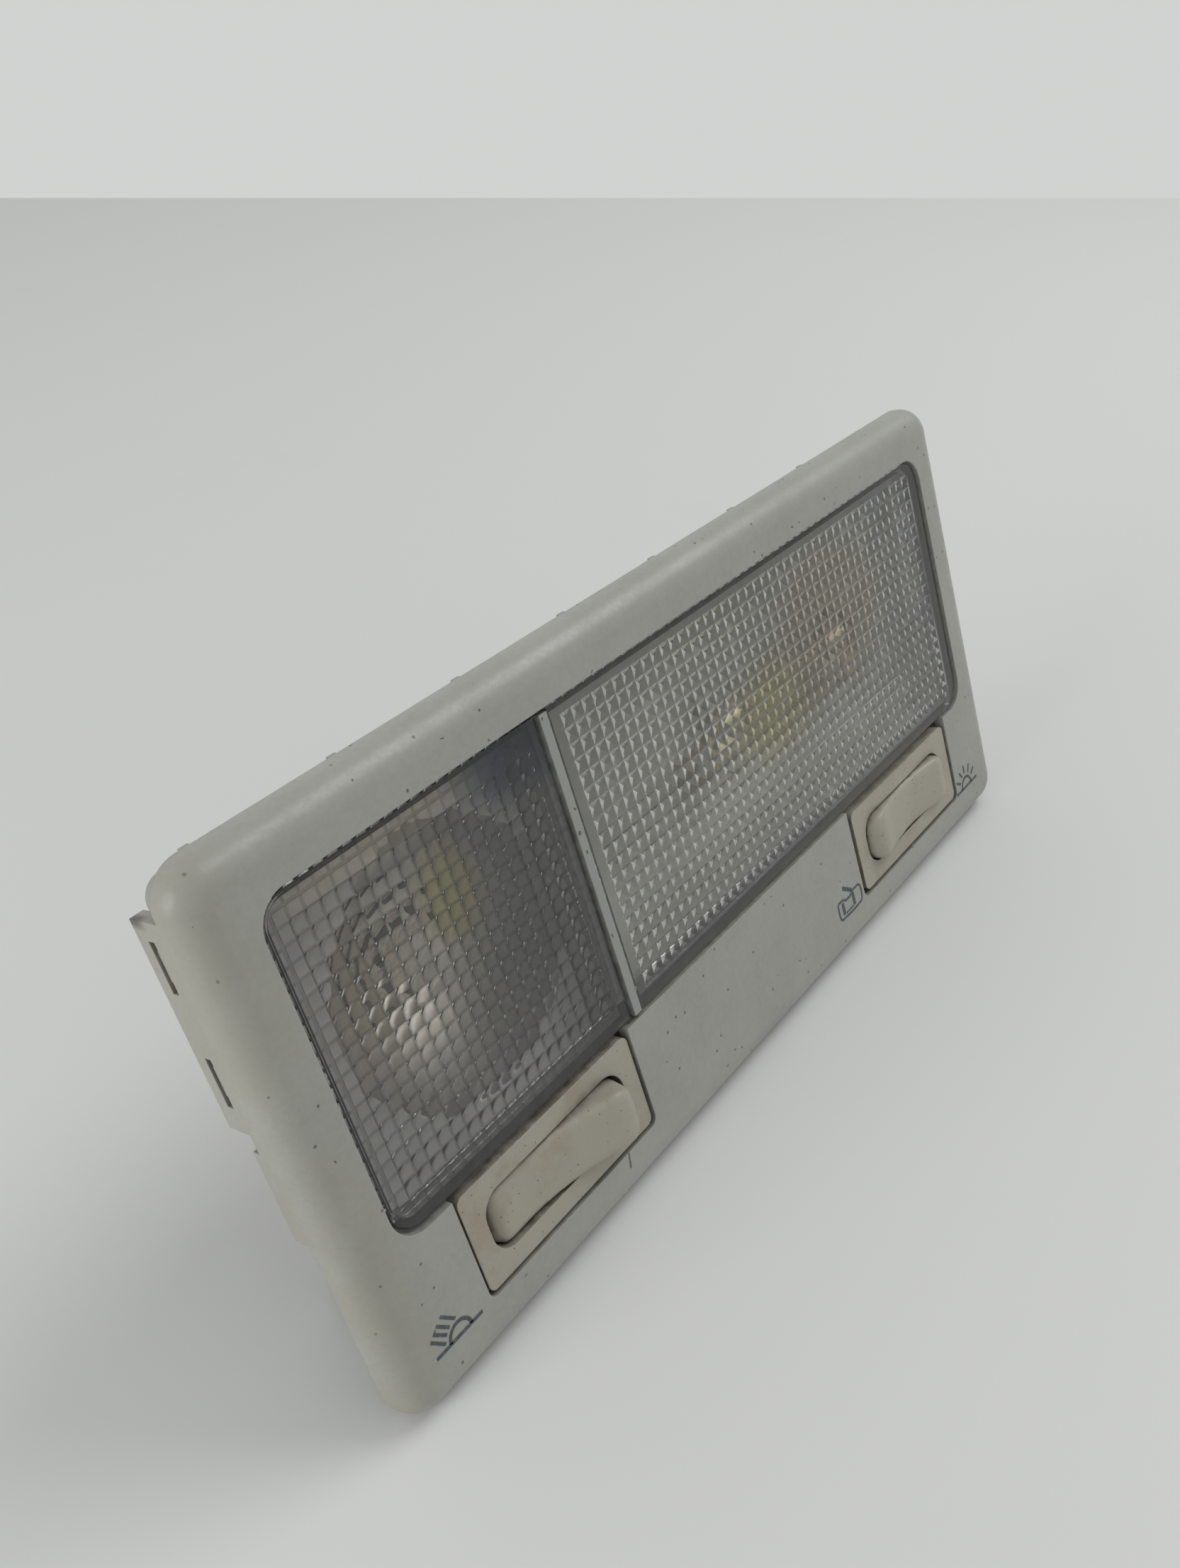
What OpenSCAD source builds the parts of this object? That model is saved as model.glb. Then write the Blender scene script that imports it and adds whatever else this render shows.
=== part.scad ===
// Overhead lamp for a car roof: a moulded bezel over a lamp base, with a reading lamp, a room lamp
// and a rocker switch for each. X runs along the lamp, Z up its short side, and the light leaves
// towards -Y. Depths are measured from the front face of the bezel, where y is 0, until the last
// step moves everything so that the origin lies midway between the two mounting screw holes, on the
// face that seats against the roof bracket.

/* [Bezel] */
// Overall length along X
bezel_w = 165.7; // [158:0.1:190]
// Overall height along Z
bezel_h = 77.8; // [74:0.1:90]
// Radius of the outer corners, seen from the front
bezel_corner_r = 5; // [4.6:0.1:14]
// Radius of the rolled front edge
bezel_roll_r = 4; // [2.5:0.1:4.5]
// Wall thickness of the moulding
bezel_wall = 1.8; // [1.2:0.1:2.4]
// Depth of the rim that goes all round
bezel_rim_depth = 5; // [4.6:0.1:6]
// Width of the bezel's band beside the window, at each end
side_band = 7.7; // [5:0.1:12]
// Width of the bezel's band above the window
top_band = 7.5; // [5:0.1:10]
// Width of the bezel's band below the window, with the switches in it
bottom_band = 23.1; // [22:0.1:26]
// Depth of the upright lip behind the window's edge
window_lip_depth = 3.6; // [2.4:0.1:4.2]
// Thickness of the window's lip
window_lip_t = 1.2; // [0.8:0.1:1.6]

/* [Bezel end lugs] */
// Depth of the end lugs that hook onto the lamp base
lug_depth = 10.3; // [9.6:0.1:12]
// How far each lug reaches above the window
lug_rise = 2; // [0:0.1:3]
// Bottom of each lug, from the window's middle
lug_bottom_z = -1.9; // [-4:0.1:0]
// Depth of the shallow tab below each lug
tab_depth = 7.6; // [6.4:0.1:9]
// Top of the shallow tab
tab_top_z = -4.6; // [-7:0.1:-4.2]
// Bottom of the shallow tab
tab_bottom_z = -17.6; // [-22:0.1:-14]
// Length of each hook slot
hook_slot_l = 6.6; // [4:0.1:8]
// Width of each hook slot
hook_slot_w = 1.1; // [0.8:0.1:1.6]
// Depth of the hook slots' middle
hook_slot_y = 7.8; // [7.2:0.1:8.4]
// Distance from the window's top down to the upper hook slot's middle
hook_upper_drop = 3.8; // [3:0.1:6]
// Middle of the lower hook slot, from the window's middle
hook_lower_z = 4.8; // [4.6:0.1:7]
// Length of the base's hooks that catch in the slots
hook_l = 4; // [2:0.1:4.4]

/* [Window and lenses] */
// Corner radius of the window
window_r = 4.5; // [3:0.1:6]
// Distance from the window's left end to the middle of the divider between the two lamps
divider_in = 47.15; // [44:0.05:54]
// Thickness of the divider
divider_w = 1.5; // [1:0.1:2.4]
// Gap round each lens
lens_gap = 0.4; // [0.2:0.05:0.8]
// How far the lenses lie below the bezel's face
lens_recess = 0.5; // [0.2:0.1:1]
// Thickness of the lenses' front wall
lens_t = 1.8; // [1.2:0.1:2.4]
// Thickness of the lenses' skirt
lens_skirt_t = 1.2; // [0.8:0.1:1.6]
// Target pitch of the prisms
prism_pitch = 2.2; // [2:0.05:3.5]
// Height of the prisms
prism_h = 0.8; // [0.4:0.1:1.2]
// Plain margin beside the room lamp's prisms, at the divider
main_margin = 3; // [1.6:0.1:4]
// Plain margin above the room lamp's prisms
main_top_margin = 2.3; // [1.6:0.1:4]
// Plain margin beside and above the reading lamp's prisms
reading_margin = 4.1; // [1.6:0.1:5]
// Plain margin below the reading lamp's prisms
reading_foot_margin = 3.1; // [1.6:0.1:5]

/* [Lamp base] */
// Depth of the base's back face
base_depth = 22; // [20:0.5:28]
// Depth of the base's front edge, where the lenses seat
base_front = 5; // [4.6:0.1:6]
// Wall thickness of the base
base_wall = 1.8; // [1.2:0.1:2.4]
// Thickness of the base's back wall
base_back_t = 1.6; // [1.2:0.1:2.4]
// How far the base reaches below the window
base_drop = 17.6; // [16:0.1:19]
// Thickness of the mounting ears
ear_t = 2.5; // [2:0.1:4]
// Length of the mounting ears along Z
ear_l = 13; // [9:0.5:16]
// Distance from the window's ends out to the mounting screw holes
screw_out = 2.85; // [2.6:0.05:3]
// Radius of the mounting screw holes
screw_hole_r = 1.75; // [1.4:0.05:1.9]
// Depth of the face that seats against the roof bracket
seat_y = 10.5; // [9.5:0.1:12]

/* [Rocker switches] */
// Distance from the window's left end to the middle of the reading lamp's switch
left_switch_in = 26.25; // [20:0.05:31]
// Distance from the window's bottom down to the middle of the reading lamp's switch
left_switch_drop = 8; // [7.4:0.1:9.4]
// Distance from the window's right end to the middle of the room lamp's switch
right_switch_in = 25.85; // [20:0.05:31]
// Distance from the window's bottom down to the middle of the room lamp's switch
right_switch_drop = 8.7; // [7.8:0.1:9.4]
// Length of a switch's front plate
plate_w = 34.6; // [33:0.1:38]
// Height of a switch's front plate
plate_h = 15; // [14:0.1:15.4]
// Thickness of a switch's front plate
plate_t = 1.9; // [1.4:0.1:2.4]
// How far the plates lie below the bezel's face
plate_recess = 0.3; // [0.1:0.1:0.8]
// Gap round the plates in the bezel
plate_gap = 0.5; // [0.3:0.1:0.9]
// Extra length of the room lamp's notch, at its inner end
notch_play = 0.9; // [0:0.1:1.4]
// Depth of a switch's housing
switch_depth = 14; // [13:0.5:18]
// Length of the opening for a rocker
rocker_slot_w = 28.3; // [26:0.1:30]
// Height of the opening for a rocker
rocker_slot_h = 9.1; // [8.5:0.1:9.6]
// Gap between a rocker and its opening, at the sides
rocker_gap = 0.3; // [0.2:0.05:0.5]
// Gap between a rocker and its opening, at the ends
rocker_end_gap = 0.45; // [0.4:0.05:0.9]
// Radius of a rocker's rounded ends
rocker_end_r = 3; // [2.4:0.1:3.6]
// How far a rocker's ends stand above the bezel's face
rocker_rise = 1.6; // [1:0.1:2.4]
// How far a rocker's middle stands above the bezel's face
rocker_mid_rise = 0.2; // [0:0.1:0.8]
// Depth of the pivot
pivot_y = 3.2; // [3:0.1:3.8]
// Radius of the moulded pivot pins
pivot_r = 1.4; // [1:0.05:1.6]
// Angle that a rocker leans each way
rocker_tilt = 11.5; // [6:0.5:12]

/* [Bulbs and reflectors] */
// Radius of the room lamp's glass tube
tube_r = 5; // [4:0.1:5.5]
// Length of the room lamp's glass tube
tube_l = 27; // [24:0.5:32]
// Length of the room lamp's bulb between its tips
bulb_l = 41; // [36:0.5:44]
// Depth of the bulb's axis
bulb_y = 12.6; // [12:0.1:13.2]
// Thickness of the reflectors
reflector_t = 0.8; // [0.5:0.1:1.2]
// Width of the flat rim round the reading lamp's bowl, at its narrowest
bowl_margin = 3.5; // [3:0.1:6]
// Distance from the window's right end to the middle of the room lamp's bulb
bulb_in = 45.15; // [41:0.05:55]
// Radius of the reading lamp's capless bulb
capless_r = 4.8; // [4:0.1:5.2]
// Radius of the reading lamp's bulb holder
holder_r = 8; // [7.4:0.1:9]
// Height of the bulb holder behind the strips
holder_l = 6.4; // [5:0.1:8]

/* [Connector and strips] */
// Length of the connector shell along X
shell_w = 10.4; // [9:0.1:13]
// Height of the connector shell along Z
shell_h = 17; // [16:0.5:20]
// Wall of the connector shell
shell_wall = 1.2; // [0.9:0.1:1.6]
// Depth of the connector shell
shell_l = 12; // [11.5:0.5:15]
// Middle of the connector along X
shell_x = 0; // [-8:0.5:8]
// Distance from the window's bottom down to the connector's middle
shell_drop = 2.4; // [1.9:0.1:3.4]
// Distance between the connector's pins
pin_pitch = 4.5; // [4:0.1:4.6]
// Length of the connector's pins in the shell
pin_l = 5; // [4:0.1:6]
// Thickness of the contact strips
strip_t = 0.6; // [0.4:0.1:0.9]
// Width of the contact strips
strip_w = 2.4; // [1.8:0.1:2.8]

/* [Hidden] */
$fn = 64;

BEZEL_GREY = [0.70, 0.71, 0.67];
BASE_GREY = [0.78, 0.79, 0.76];
SWITCH_TAN = [0.66, 0.62, 0.57];
LENS_CLEAR = [0.80, 0.83, 0.82, 0.45];
METAL = [0.75, 0.75, 0.72];
BRASS = [0.80, 0.66, 0.34];

// How far pieces of one solid run into each other, and how far a cutter runs past what it cuts
bite = 0.01;
over = 1;

// Outlines shared by the pieces
window_w = bezel_w - 2 * side_band;
window_h = bezel_h - top_band - bottom_band;
window_rise = (bottom_band - top_band) / 2;
half_window_w = window_w / 2;
half_window_h = window_h / 2;
side_x = bezel_w / 2;
divider_x = divider_in - half_window_w;
screw_spacing = window_w + 2 * screw_out;
lug_top_z = half_window_h + lug_rise;
hook_upper_z = half_window_h - hook_upper_drop;
base_side_gap = 0.3;
base_top_gap = 0.2;
base_half_w = half_window_w + base_side_gap;
base_top_z = half_window_h + base_top_gap;
base_bottom_z = -half_window_h - base_drop;
base_corner_r = 3;
rear_drop = 2.4;
chamber_h = window_h - 2 * (lens_gap + lens_skirt_t);
back_inner_y = base_depth - base_back_t;
ledge_w = 1;
seat_gap = 0.15;

// Spans of the two lenses along X
lens_left = -half_window_w + lens_gap;
lens_right = half_window_w - lens_gap;
reading_right = divider_x - divider_w / 2 - lens_gap;
main_left = divider_x + divider_w / 2 + lens_gap;
lens_h = window_h - 2 * lens_gap;
lens_back = lens_recess + lens_t;
field_inset = lens_skirt_t + 0.4;

// Light chambers, and the reflectors that sit on their ledges
reading_chamber = [lens_left + lens_skirt_t, divider_x - divider_w / 2];
main_chamber = [divider_x + divider_w / 2, lens_right - lens_skirt_t];
reading_x = (reading_chamber[0] + reading_chamber[1]) / 2;
reflector_clearance = 0.4;
ledge_drop = 1.2;
ledge_y = base_front + ledge_drop;
reflector_floor_y = back_inner_y - reflector_clearance - reflector_t;
bowl_depth = reflector_floor_y - ledge_y;
bowl_mouth_r = min(chamber_h, reading_chamber[1] - reading_chamber[0]) / 2 - bowl_margin;
bowl_r = (bowl_mouth_r * bowl_mouth_r + bowl_depth * bowl_depth) / (2 * bowl_depth);
trough_lip = 0.3;
trough_half = chamber_h / 2 - ledge_w - reflector_clearance - trough_lip;
trough_r = (trough_half * trough_half + bowl_depth * bowl_depth) / (2 * bowl_depth);

// Bulb with a cap on each end, and the blades that hold its caps
bulb_x = half_window_w - bulb_in;
cap_share = 0.68;
cap_r = cap_share * tube_r;
cap_tip_r = 0.8;
cap_cone_l = 2;
cap_l = (bulb_l - tube_l) / 2 - cap_cone_l;
blade_t = 0.6;
blade_w = 7;
blade_hole_r = 2;
blade_at = tube_l / 2 + cap_l + cap_cone_l * (cap_r - blade_hole_r) / (cap_r - cap_tip_r);

// Capless bulb and its holder
bulb_setback = 1.6;
bulb_tip_y = ledge_y + bulb_setback;
pinch_inset = 0.4;
pinch_w = 2 * (capless_r - pinch_inset);
pinch_t = 3.2;
pinch_lead = 2;
pinch_start_y = back_inner_y - pinch_lead;
neck_wall = 1.2;
neck_r = capless_r + neck_wall;
strip_y = base_depth + strip_t;
pinch_tail = 2.4;
pinch_end_y = strip_y + pinch_tail;
leaf_t = 0.5;
leaf_fit = 0.02;
leaf_inset = 0.6;
leaf_reach = neck_r + 2 * leaf_inset;
grip_t = 2;
grip_h = 1.6;

// Rocker form: two round ends joined by a hollow that is tangent to both
end_y = rocker_end_r - rocker_rise;
end_x = rocker_slot_w / 2 - rocker_end_gap - rocker_end_r;
end_rise = end_y + rocker_mid_rise;
hollow_r = (end_x * end_x + end_rise * end_rise - rocker_end_r * rocker_end_r)
    / (2 * (rocker_end_r - end_rise));
hollow_angle = atan(end_x / (end_rise + hollow_r));
rocker_h = rocker_slot_h - 2 * rocker_gap;
rocker_skirt_y = 5;
slot_corner_r = 3.4;
pivot_clearance = 0.05;
pin_reach = 1.6;

// Switch housing behind its plate
left_switch_x = left_switch_in - half_window_w;
left_switch_z = -half_window_h - left_switch_drop;
right_switch_x = half_window_w - right_switch_in;
right_switch_z = -half_window_h - right_switch_drop;
switch_wall = 1.4;
cavity_end_room = 0.3;
cavity_side_room = 0.1;
cavity_w = rocker_slot_w + 2 * cavity_end_room;
cavity_h = rocker_slot_h + 2 * cavity_side_room;
box_w = cavity_w + 2 * switch_wall;
bore_wall = 0.7;
box_h = cavity_h + 2 * (pin_reach + bore_wall);
switch_floor_y = switch_depth - switch_wall;
pocket_floor_y = switch_depth + base_back_t;

// Contact bridge under each rocker, just clear of its terminals at full tilt
bridge_t = 0.4;
bridge_w = 4;
button_x = 9;
button_r = 1.2;
button_t = 0.5;
contact_gap = 0.15;
terminal_t = 0.8;
terminal_top_y = switch_floor_y - terminal_t;
button_drop = (terminal_top_y - pivot_y - contact_gap - (button_x + button_r) * sin(rocker_tilt))
    / cos(rocker_tilt);
bridge_drop = button_drop - button_t;
common_gap = 0.45;
common_top_y = pivot_y + bridge_drop + common_gap;
terminal_head = 2.6;
tail_w = 1.2;
tail_t = 0.8;

// Runs of the contact strips on the base's back, and the posts that pin them down
shell_z = -half_window_h - shell_drop;
door_z = shell_z - pin_pitch;
ground_z = shell_z + pin_pitch;
lamp_run_gap = 5;
lamp_run_z = blade_w / 2 + lamp_run_gap;
strip_from_bulb = neck_r + seat_gap + strip_w / 2;
strip_end_z = 2;
stake_r = 1;
stake_head = 0.5;
stake_in = 13;
stake_near = 15;
stake_x = [left_switch_x + stake_in, shell_x - stake_near, shell_x + stake_near,
    right_switch_x - stake_in];
pin_w = 2.2;
pin_t = 0.8;

// Ribs on the long sides of the base
rib_t = 1.4;
rib_h = 1.8;
rib_count = 7;

function prism_count(span) = max(4, round(span / prism_pitch));

module rounded_rect(w, h, r) {
    square([w - 2 * r, h], center = true);
    square([w, h - 2 * r], center = true);
    for (sx = [-1, 1], sz = [-1, 1])
        translate([sx * (w / 2 - r), sz * (h / 2 - r)]) circle(r);
}

// A flat outline in X and Z, given depth from y0 to y1
module deep(y0, y1) {
    translate([0, y1, 0]) rotate([90, 0, 0]) linear_extrude(y1 - y0) children();
}

// A section in Y and Z, run along X from x0 to x1
module along_x(x0, x1) {
    translate([x0, 0, 0]) rotate([90, 0, 90]) linear_extrude(x1 - x0) children();
}

module block(x0, x1, y0, y1, z0, z1) {
    translate([x0, y0, z0]) cube([x1 - x0, y1 - y0, z1 - z0]);
}

// Section of a rolled edge: depth across, reach up, with the front outer corner rounded
module edge_section(reach, roll, depth) {
    square([depth, reach - roll]);
    translate([roll, 0]) square([depth - roll, reach]);
    intersection() {
        translate([roll, reach - roll]) circle(roll);
        square([roll, reach]);
    }
}

// A tray's outer form: a rounded slab with its front edge rolled
module rolled_slab(w, h, corner, roll, depth) {
    flat_w = w - 2 * corner;
    flat_h = h - 2 * corner;
    block(-flat_w / 2, flat_w / 2, 0, depth, -flat_h / 2, flat_h / 2);
    for (turn = [0, 180])
        rotate([0, turn, 0]) translate([0, 0, flat_h / 2])
            along_x(-flat_w / 2, flat_w / 2) edge_section(corner, roll, depth);
    for (turn = [90, 270])
        rotate([0, turn, 0]) translate([0, 0, flat_w / 2])
            along_x(-flat_h / 2, flat_h / 2) edge_section(corner, roll, depth);
    for (corner_at = [[0, 1, -1], [90, -1, -1], [180, -1, 1], [270, 1, 1]])
        translate([corner_at[1] * flat_w / 2, 0, corner_at[2] * flat_h / 2])
            rotate([0, corner_at[0], 0]) rotate([-90, 0, 0])
                rotate_extrude(angle = 90) mirror([1, -1, 0]) edge_section(corner, roll, depth);
}

module at_left_switch() {
    translate([left_switch_x, 0, left_switch_z]) children();
}

module at_right_switch() {
    translate([right_switch_x, 0, right_switch_z]) children();
}

// The notch below the window that a switch plate fills, longer by play at its inner end
module switch_notch(x, z, play) {
    corner = 1.4;
    bottom = z - plate_h / 2 - plate_gap;
    left = x - plate_w / 2 - plate_gap - play;
    right = x + plate_w / 2 + plate_gap;
    top = -half_window_h + 2 * corner;
    translate([(left + right) / 2, (top + bottom) / 2])
        rounded_rect(right - left, top - bottom, corner);
}

// One end of the bezel: a lug with two hook slots and a shallow tab, on the +X side
module end_lug() {
    wall_in = side_x - bezel_wall;
    difference() {
        block(wall_in, side_x, bezel_roll_r, lug_depth, lug_bottom_z, lug_top_z);
        for (z = [hook_upper_z, hook_lower_z])
            block(wall_in - over, side_x + over,
                hook_slot_y - hook_slot_w / 2, hook_slot_y + hook_slot_w / 2,
                z - hook_slot_l / 2, z + hook_slot_l / 2);
    }
    block(wall_in, side_x, bezel_roll_r, tab_depth, tab_bottom_z, tab_top_z);
    tab_step = 1.2;
    block(wall_in, side_x, bezel_roll_r, tab_depth - tab_step, tab_top_z - bite, lug_bottom_z + bite);
}

module bezel() {
    inner_corner = bezel_corner_r - bezel_wall;
    inner_roll = bezel_roll_r - bezel_wall;
    color(BEZEL_GREY) difference() {
        union() {
            difference() {
                translate([0, 0, -window_rise])
                    rolled_slab(bezel_w, bezel_h, bezel_corner_r, bezel_roll_r, bezel_rim_depth);
                translate([0, bezel_wall, -window_rise])
                    rolled_slab(bezel_w - 2 * bezel_wall, bezel_h - 2 * bezel_wall,
                        inner_corner, inner_roll, bezel_rim_depth);
            }
            deep(bezel_wall - bite, window_lip_depth) difference() {
                rounded_rect(window_w + 2 * window_lip_t, window_h + 2 * window_lip_t,
                    window_r + window_lip_t);
                translate([0, -half_window_h - window_lip_t])
                    square([window_w - 2 * window_r, 4 * window_lip_t], center = true);
            }
            end_lug();
            mirror([1, 0, 0]) end_lug();
        }
        deep(-over, window_lip_depth + over) rounded_rect(window_w, window_h, window_r);
        deep(-over, bezel_wall + over) switch_notch(left_switch_x, left_switch_z, 0);
        deep(-over, bezel_wall + over) switch_notch(right_switch_x, right_switch_z, notch_play);
    }
}

// One end of the base: a mounting ear and two hooks for the bezel's slots, on the +X side
module base_end() {
    ear_gap = 0.4;
    hook_tip_gap = 0.3;
    ear_reach = side_x - bezel_wall - ear_gap;
    difference() {
        block(base_half_w - bite, ear_reach, seat_y - ear_t, seat_y, -ear_l / 2, ear_l / 2);
        translate([screw_spacing / 2, seat_y - ear_t - over, 0]) rotate([-90, 0, 0])
            cylinder(h = ear_t + 2 * over, r = screw_hole_r);
    }
    for (z = [hook_upper_z, hook_lower_z])
        block(base_half_w - bite, side_x - hook_tip_gap,
            hook_slot_y - hook_slot_w / 2 + seat_gap, hook_slot_y + hook_slot_w / 2 - seat_gap,
            z - hook_l / 2, z + hook_l / 2);
}

// A light chamber with a ledge round its mouth for the reflector's rim
module chamber(span) {
    block(span[0], span[1], base_front - over, ledge_y, -chamber_h / 2, chamber_h / 2);
    block(span[0] + ledge_w, span[1] - ledge_w, base_front - over, back_inner_y,
        -chamber_h / 2 + ledge_w, chamber_h / 2 - ledge_w);
}

// The pocket for a switch housing, open again behind its floor for the terminals
module switch_pocket() {
    block(-box_w / 2 - seat_gap, box_w / 2 + seat_gap, base_front - over, switch_depth,
        -box_h / 2 - seat_gap, box_h / 2 + seat_gap);
    block(-box_w / 2 + base_wall, box_w / 2 - base_wall, pocket_floor_y, base_depth + over,
        -box_h / 2 + base_wall, box_h / 2 - base_wall);
}

module terminal_slots(places) {
    for (x = places)
        block(x - tail_t / 2 - seat_gap, x + tail_t / 2 + seat_gap, switch_floor_y - over, pocket_floor_y + over,
            -tail_w / 2 - seat_gap, tail_w / 2 + seat_gap);
}

module lamp_base() {
    divider_recess = 0.1;
    divider_end_gap = 0.6;
    blade_room = 0.2;
    color(BASE_GREY) difference() {
        union() {
            deep(base_front, base_depth) translate([0, (base_top_z + base_bottom_z) / 2])
                rounded_rect(2 * base_half_w, base_top_z - base_bottom_z, base_corner_r);
            block(divider_x - divider_w / 2, divider_x + divider_w / 2,
                divider_recess, base_front + over,
                -half_window_h + divider_end_gap, half_window_h - divider_end_gap);
            base_end();
            mirror([1, 0, 0]) base_end();
            side_ribs();
        }
        // The rear half is shallower below, so that the lamp clears the bracket
        block(-base_half_w - over, base_half_w + over, pocket_floor_y, base_depth + over,
            base_bottom_z - over, base_bottom_z + rear_drop);
        chamber(reading_chamber);
        chamber(main_chamber);
        at_left_switch() {
            switch_pocket();
            terminal_slots([-button_x, 0]);
        }
        at_right_switch() {
            switch_pocket();
            terminal_slots([-button_x, 0, button_x]);
        }
        // The space between the switches, and the corners beside them
        wire_space();
        // Holes for the bulb holder and the blades
        translate([reading_x, back_inner_y - over, 0]) rotate([-90, 0, 0])
            cylinder(h = base_back_t + 2 * over, r = neck_r + seat_gap);
        for (side = [-1, 1])
            translate([bulb_x + side * blade_at, 0, 0])
                block(-blade_room + min(0, side * blade_t), blade_room + max(0, side * blade_t),
                    back_inner_y - over, base_depth + over,
                    -blade_w / 2 - blade_room, blade_w / 2 + blade_room);
    }
    color(BASE_GREY) stakes(stake_r, base_depth - bite, strip_y + stake_head);
}

// Ribs that stiffen the base's long upper side
module side_ribs() {
    pitch = (2 * base_half_w - 4 * base_corner_r) / (rib_count - 1);
    for (i = [0 : rib_count - 1]) {
        x = -base_half_w + 2 * base_corner_r + i * pitch;
        block(x - rib_t / 2, x + rib_t / 2, base_front + rib_h, base_depth - rib_h,
            base_top_z - bite, base_top_z + rib_h);
    }
}

module wire_space() {
    low = base_bottom_z + base_wall;
    high = -chamber_h / 2 - base_wall;
    left = left_switch_x + box_w / 2 + base_wall + seat_gap;
    right = right_switch_x - box_w / 2 - base_wall - seat_gap;
    block(left, right, base_front - over, pocket_floor_y - base_back_t, low, high);
}

// A lens shell: a front wall and a skirt that stands on the base
module lens_shell(x0, x1) {
    corner = window_r - lens_gap;
    difference() {
        deep(lens_recess, base_front) lens_outline(x0, x1, corner, 0);
        deep(lens_back, base_front + over) lens_outline(x0, x1, corner, lens_skirt_t);
    }
}

// A lens is rounded where it follows the window's corners and square beside the divider
module lens_outline(x0, x1, corner, inset) {
    outer_left = x0 < divider_x;
    w = x1 - x0 - 2 * inset;
    h = lens_h - 2 * inset;
    r = corner - inset;
    translate([(x0 + x1) / 2, 0]) {
        rounded_rect(w, h, r);
        translate([(outer_left ? 1 : -1) * (w / 2 - r), 0]) square([2 * r, h], center = true);
    }
}

// Saw teeth along a length from a to b, standing on a thin plinth
module teeth(a, b) {
    count = prism_count(b - a);
    pitch = (b - a) / count;
    plinth = 0.1;
    sunk = 0.2;
    polygon(concat([[a, -sunk]],
        [for (i = [0 : count - 1]) each [[a + i * pitch, plinth], [a + (i + 0.5) * pitch, prism_h]]],
        [[b, plinth], [b, -sunk]]));
}

// Where teeth along X cross teeth along Z they leave a field of four-sided prisms
module prism_field(x0, x1, z0, z1) {
    intersection() {
        translate([0, 0, z0]) linear_extrude(z1 - z0) teeth(x0, x1);
        along_x(x0, x1) mirror([1, -1, 0]) teeth(z0, z1);
    }
}

// A whole lens: its shell, and the prisms inside its front wall
module lens(x0, x1, field_x0, field_x1, field_z0, field_z1) {
    lens_shell(x0, x1);
    translate([0, lens_back, 0]) prism_field(field_x0, field_x1, field_z0, field_z1);
}

module main_lens() {
    color(LENS_CLEAR)
        lens(main_left, lens_right, main_left + main_margin, lens_right - field_inset,
            -lens_h / 2 + field_inset, lens_h / 2 - main_top_margin);
}

module reading_lens() {
    color(LENS_CLEAR)
        lens(lens_left, reading_right, lens_left + reading_margin, reading_right - field_inset,
            -lens_h / 2 + reading_foot_margin, lens_h / 2 - reading_margin);
}

// The flat rim of a reflector, resting on its chamber's ledge
module reflector_rim(span) {
    block(span[0] + seat_gap, span[1] - seat_gap, ledge_y - reflector_t, ledge_y,
        -chamber_h / 2 + seat_gap, chamber_h / 2 - seat_gap);
}

module blade_openings(clearance) {
    for (side = [-1, 1])
        translate([bulb_x + side * (blade_at + blade_t / 2), 0, 0])
            block(-blade_t / 2 - clearance, blade_t / 2 + clearance, 0, base_depth,
                -blade_w / 2 - clearance, blade_w / 2 + clearance);
}

// Trough with a round section behind the room lamp's bulb, closed at its ends
module main_reflector() {
    blade_clearance = 0.5;
    inset = ledge_w + reflector_clearance;
    x0 = main_chamber[0] + inset;
    x1 = main_chamber[1] - inset;
    axis_y = reflector_floor_y - trough_r;
    color(METAL) difference() {
        union() {
            reflector_rim(main_chamber);
            intersection() {
                translate([x0, axis_y, 0]) rotate([0, 90, 0])
                    cylinder(h = x1 - x0, r = trough_r + reflector_t);
                block(x0, x1, ledge_y - reflector_t, base_depth,
                    -trough_half - trough_lip, trough_half + trough_lip);
            }
        }
        translate([x0 + reflector_t, axis_y, 0]) rotate([0, 90, 0])
            cylinder(h = x1 - x0 - 2 * reflector_t, r = trough_r);
        blade_openings(blade_clearance);
    }
}

// Round bowl behind the reading lamp's bulb
module reading_reflector() {
    centre_y = reflector_floor_y - bowl_r;
    color(METAL) difference() {
        union() {
            reflector_rim(reading_chamber);
            intersection() {
                translate([reading_x, centre_y, 0]) sphere(bowl_r + reflector_t);
                block(reading_x - bowl_r, reading_x + bowl_r, ledge_y - reflector_t, base_depth,
                    -bowl_r, bowl_r);
            }
        }
        translate([reading_x, centre_y, 0]) sphere(bowl_r);
        translate([reading_x, 0, 0]) rotate([-90, 0, 0])
            cylinder(h = base_depth, r = neck_r + seat_gap);
    }
}

module at_bulb() {
    translate([bulb_x, bulb_y, 0]) rotate([0, 90, 0]) children();
}

module main_bulb_glass() {
    color(LENS_CLEAR) at_bulb() cylinder(h = tube_l, r = tube_r, center = true);
}

module main_bulb_caps() {
    color(BRASS) at_bulb()
        for (flip = [0, 180])
            rotate([flip, 0, 0]) translate([0, 0, tube_l / 2]) {
                cylinder(h = cap_l, r = cap_r);
                translate([0, 0, cap_l]) cylinder(h = cap_cone_l, r1 = cap_r, r2 = cap_tip_r);
            }
}

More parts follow.
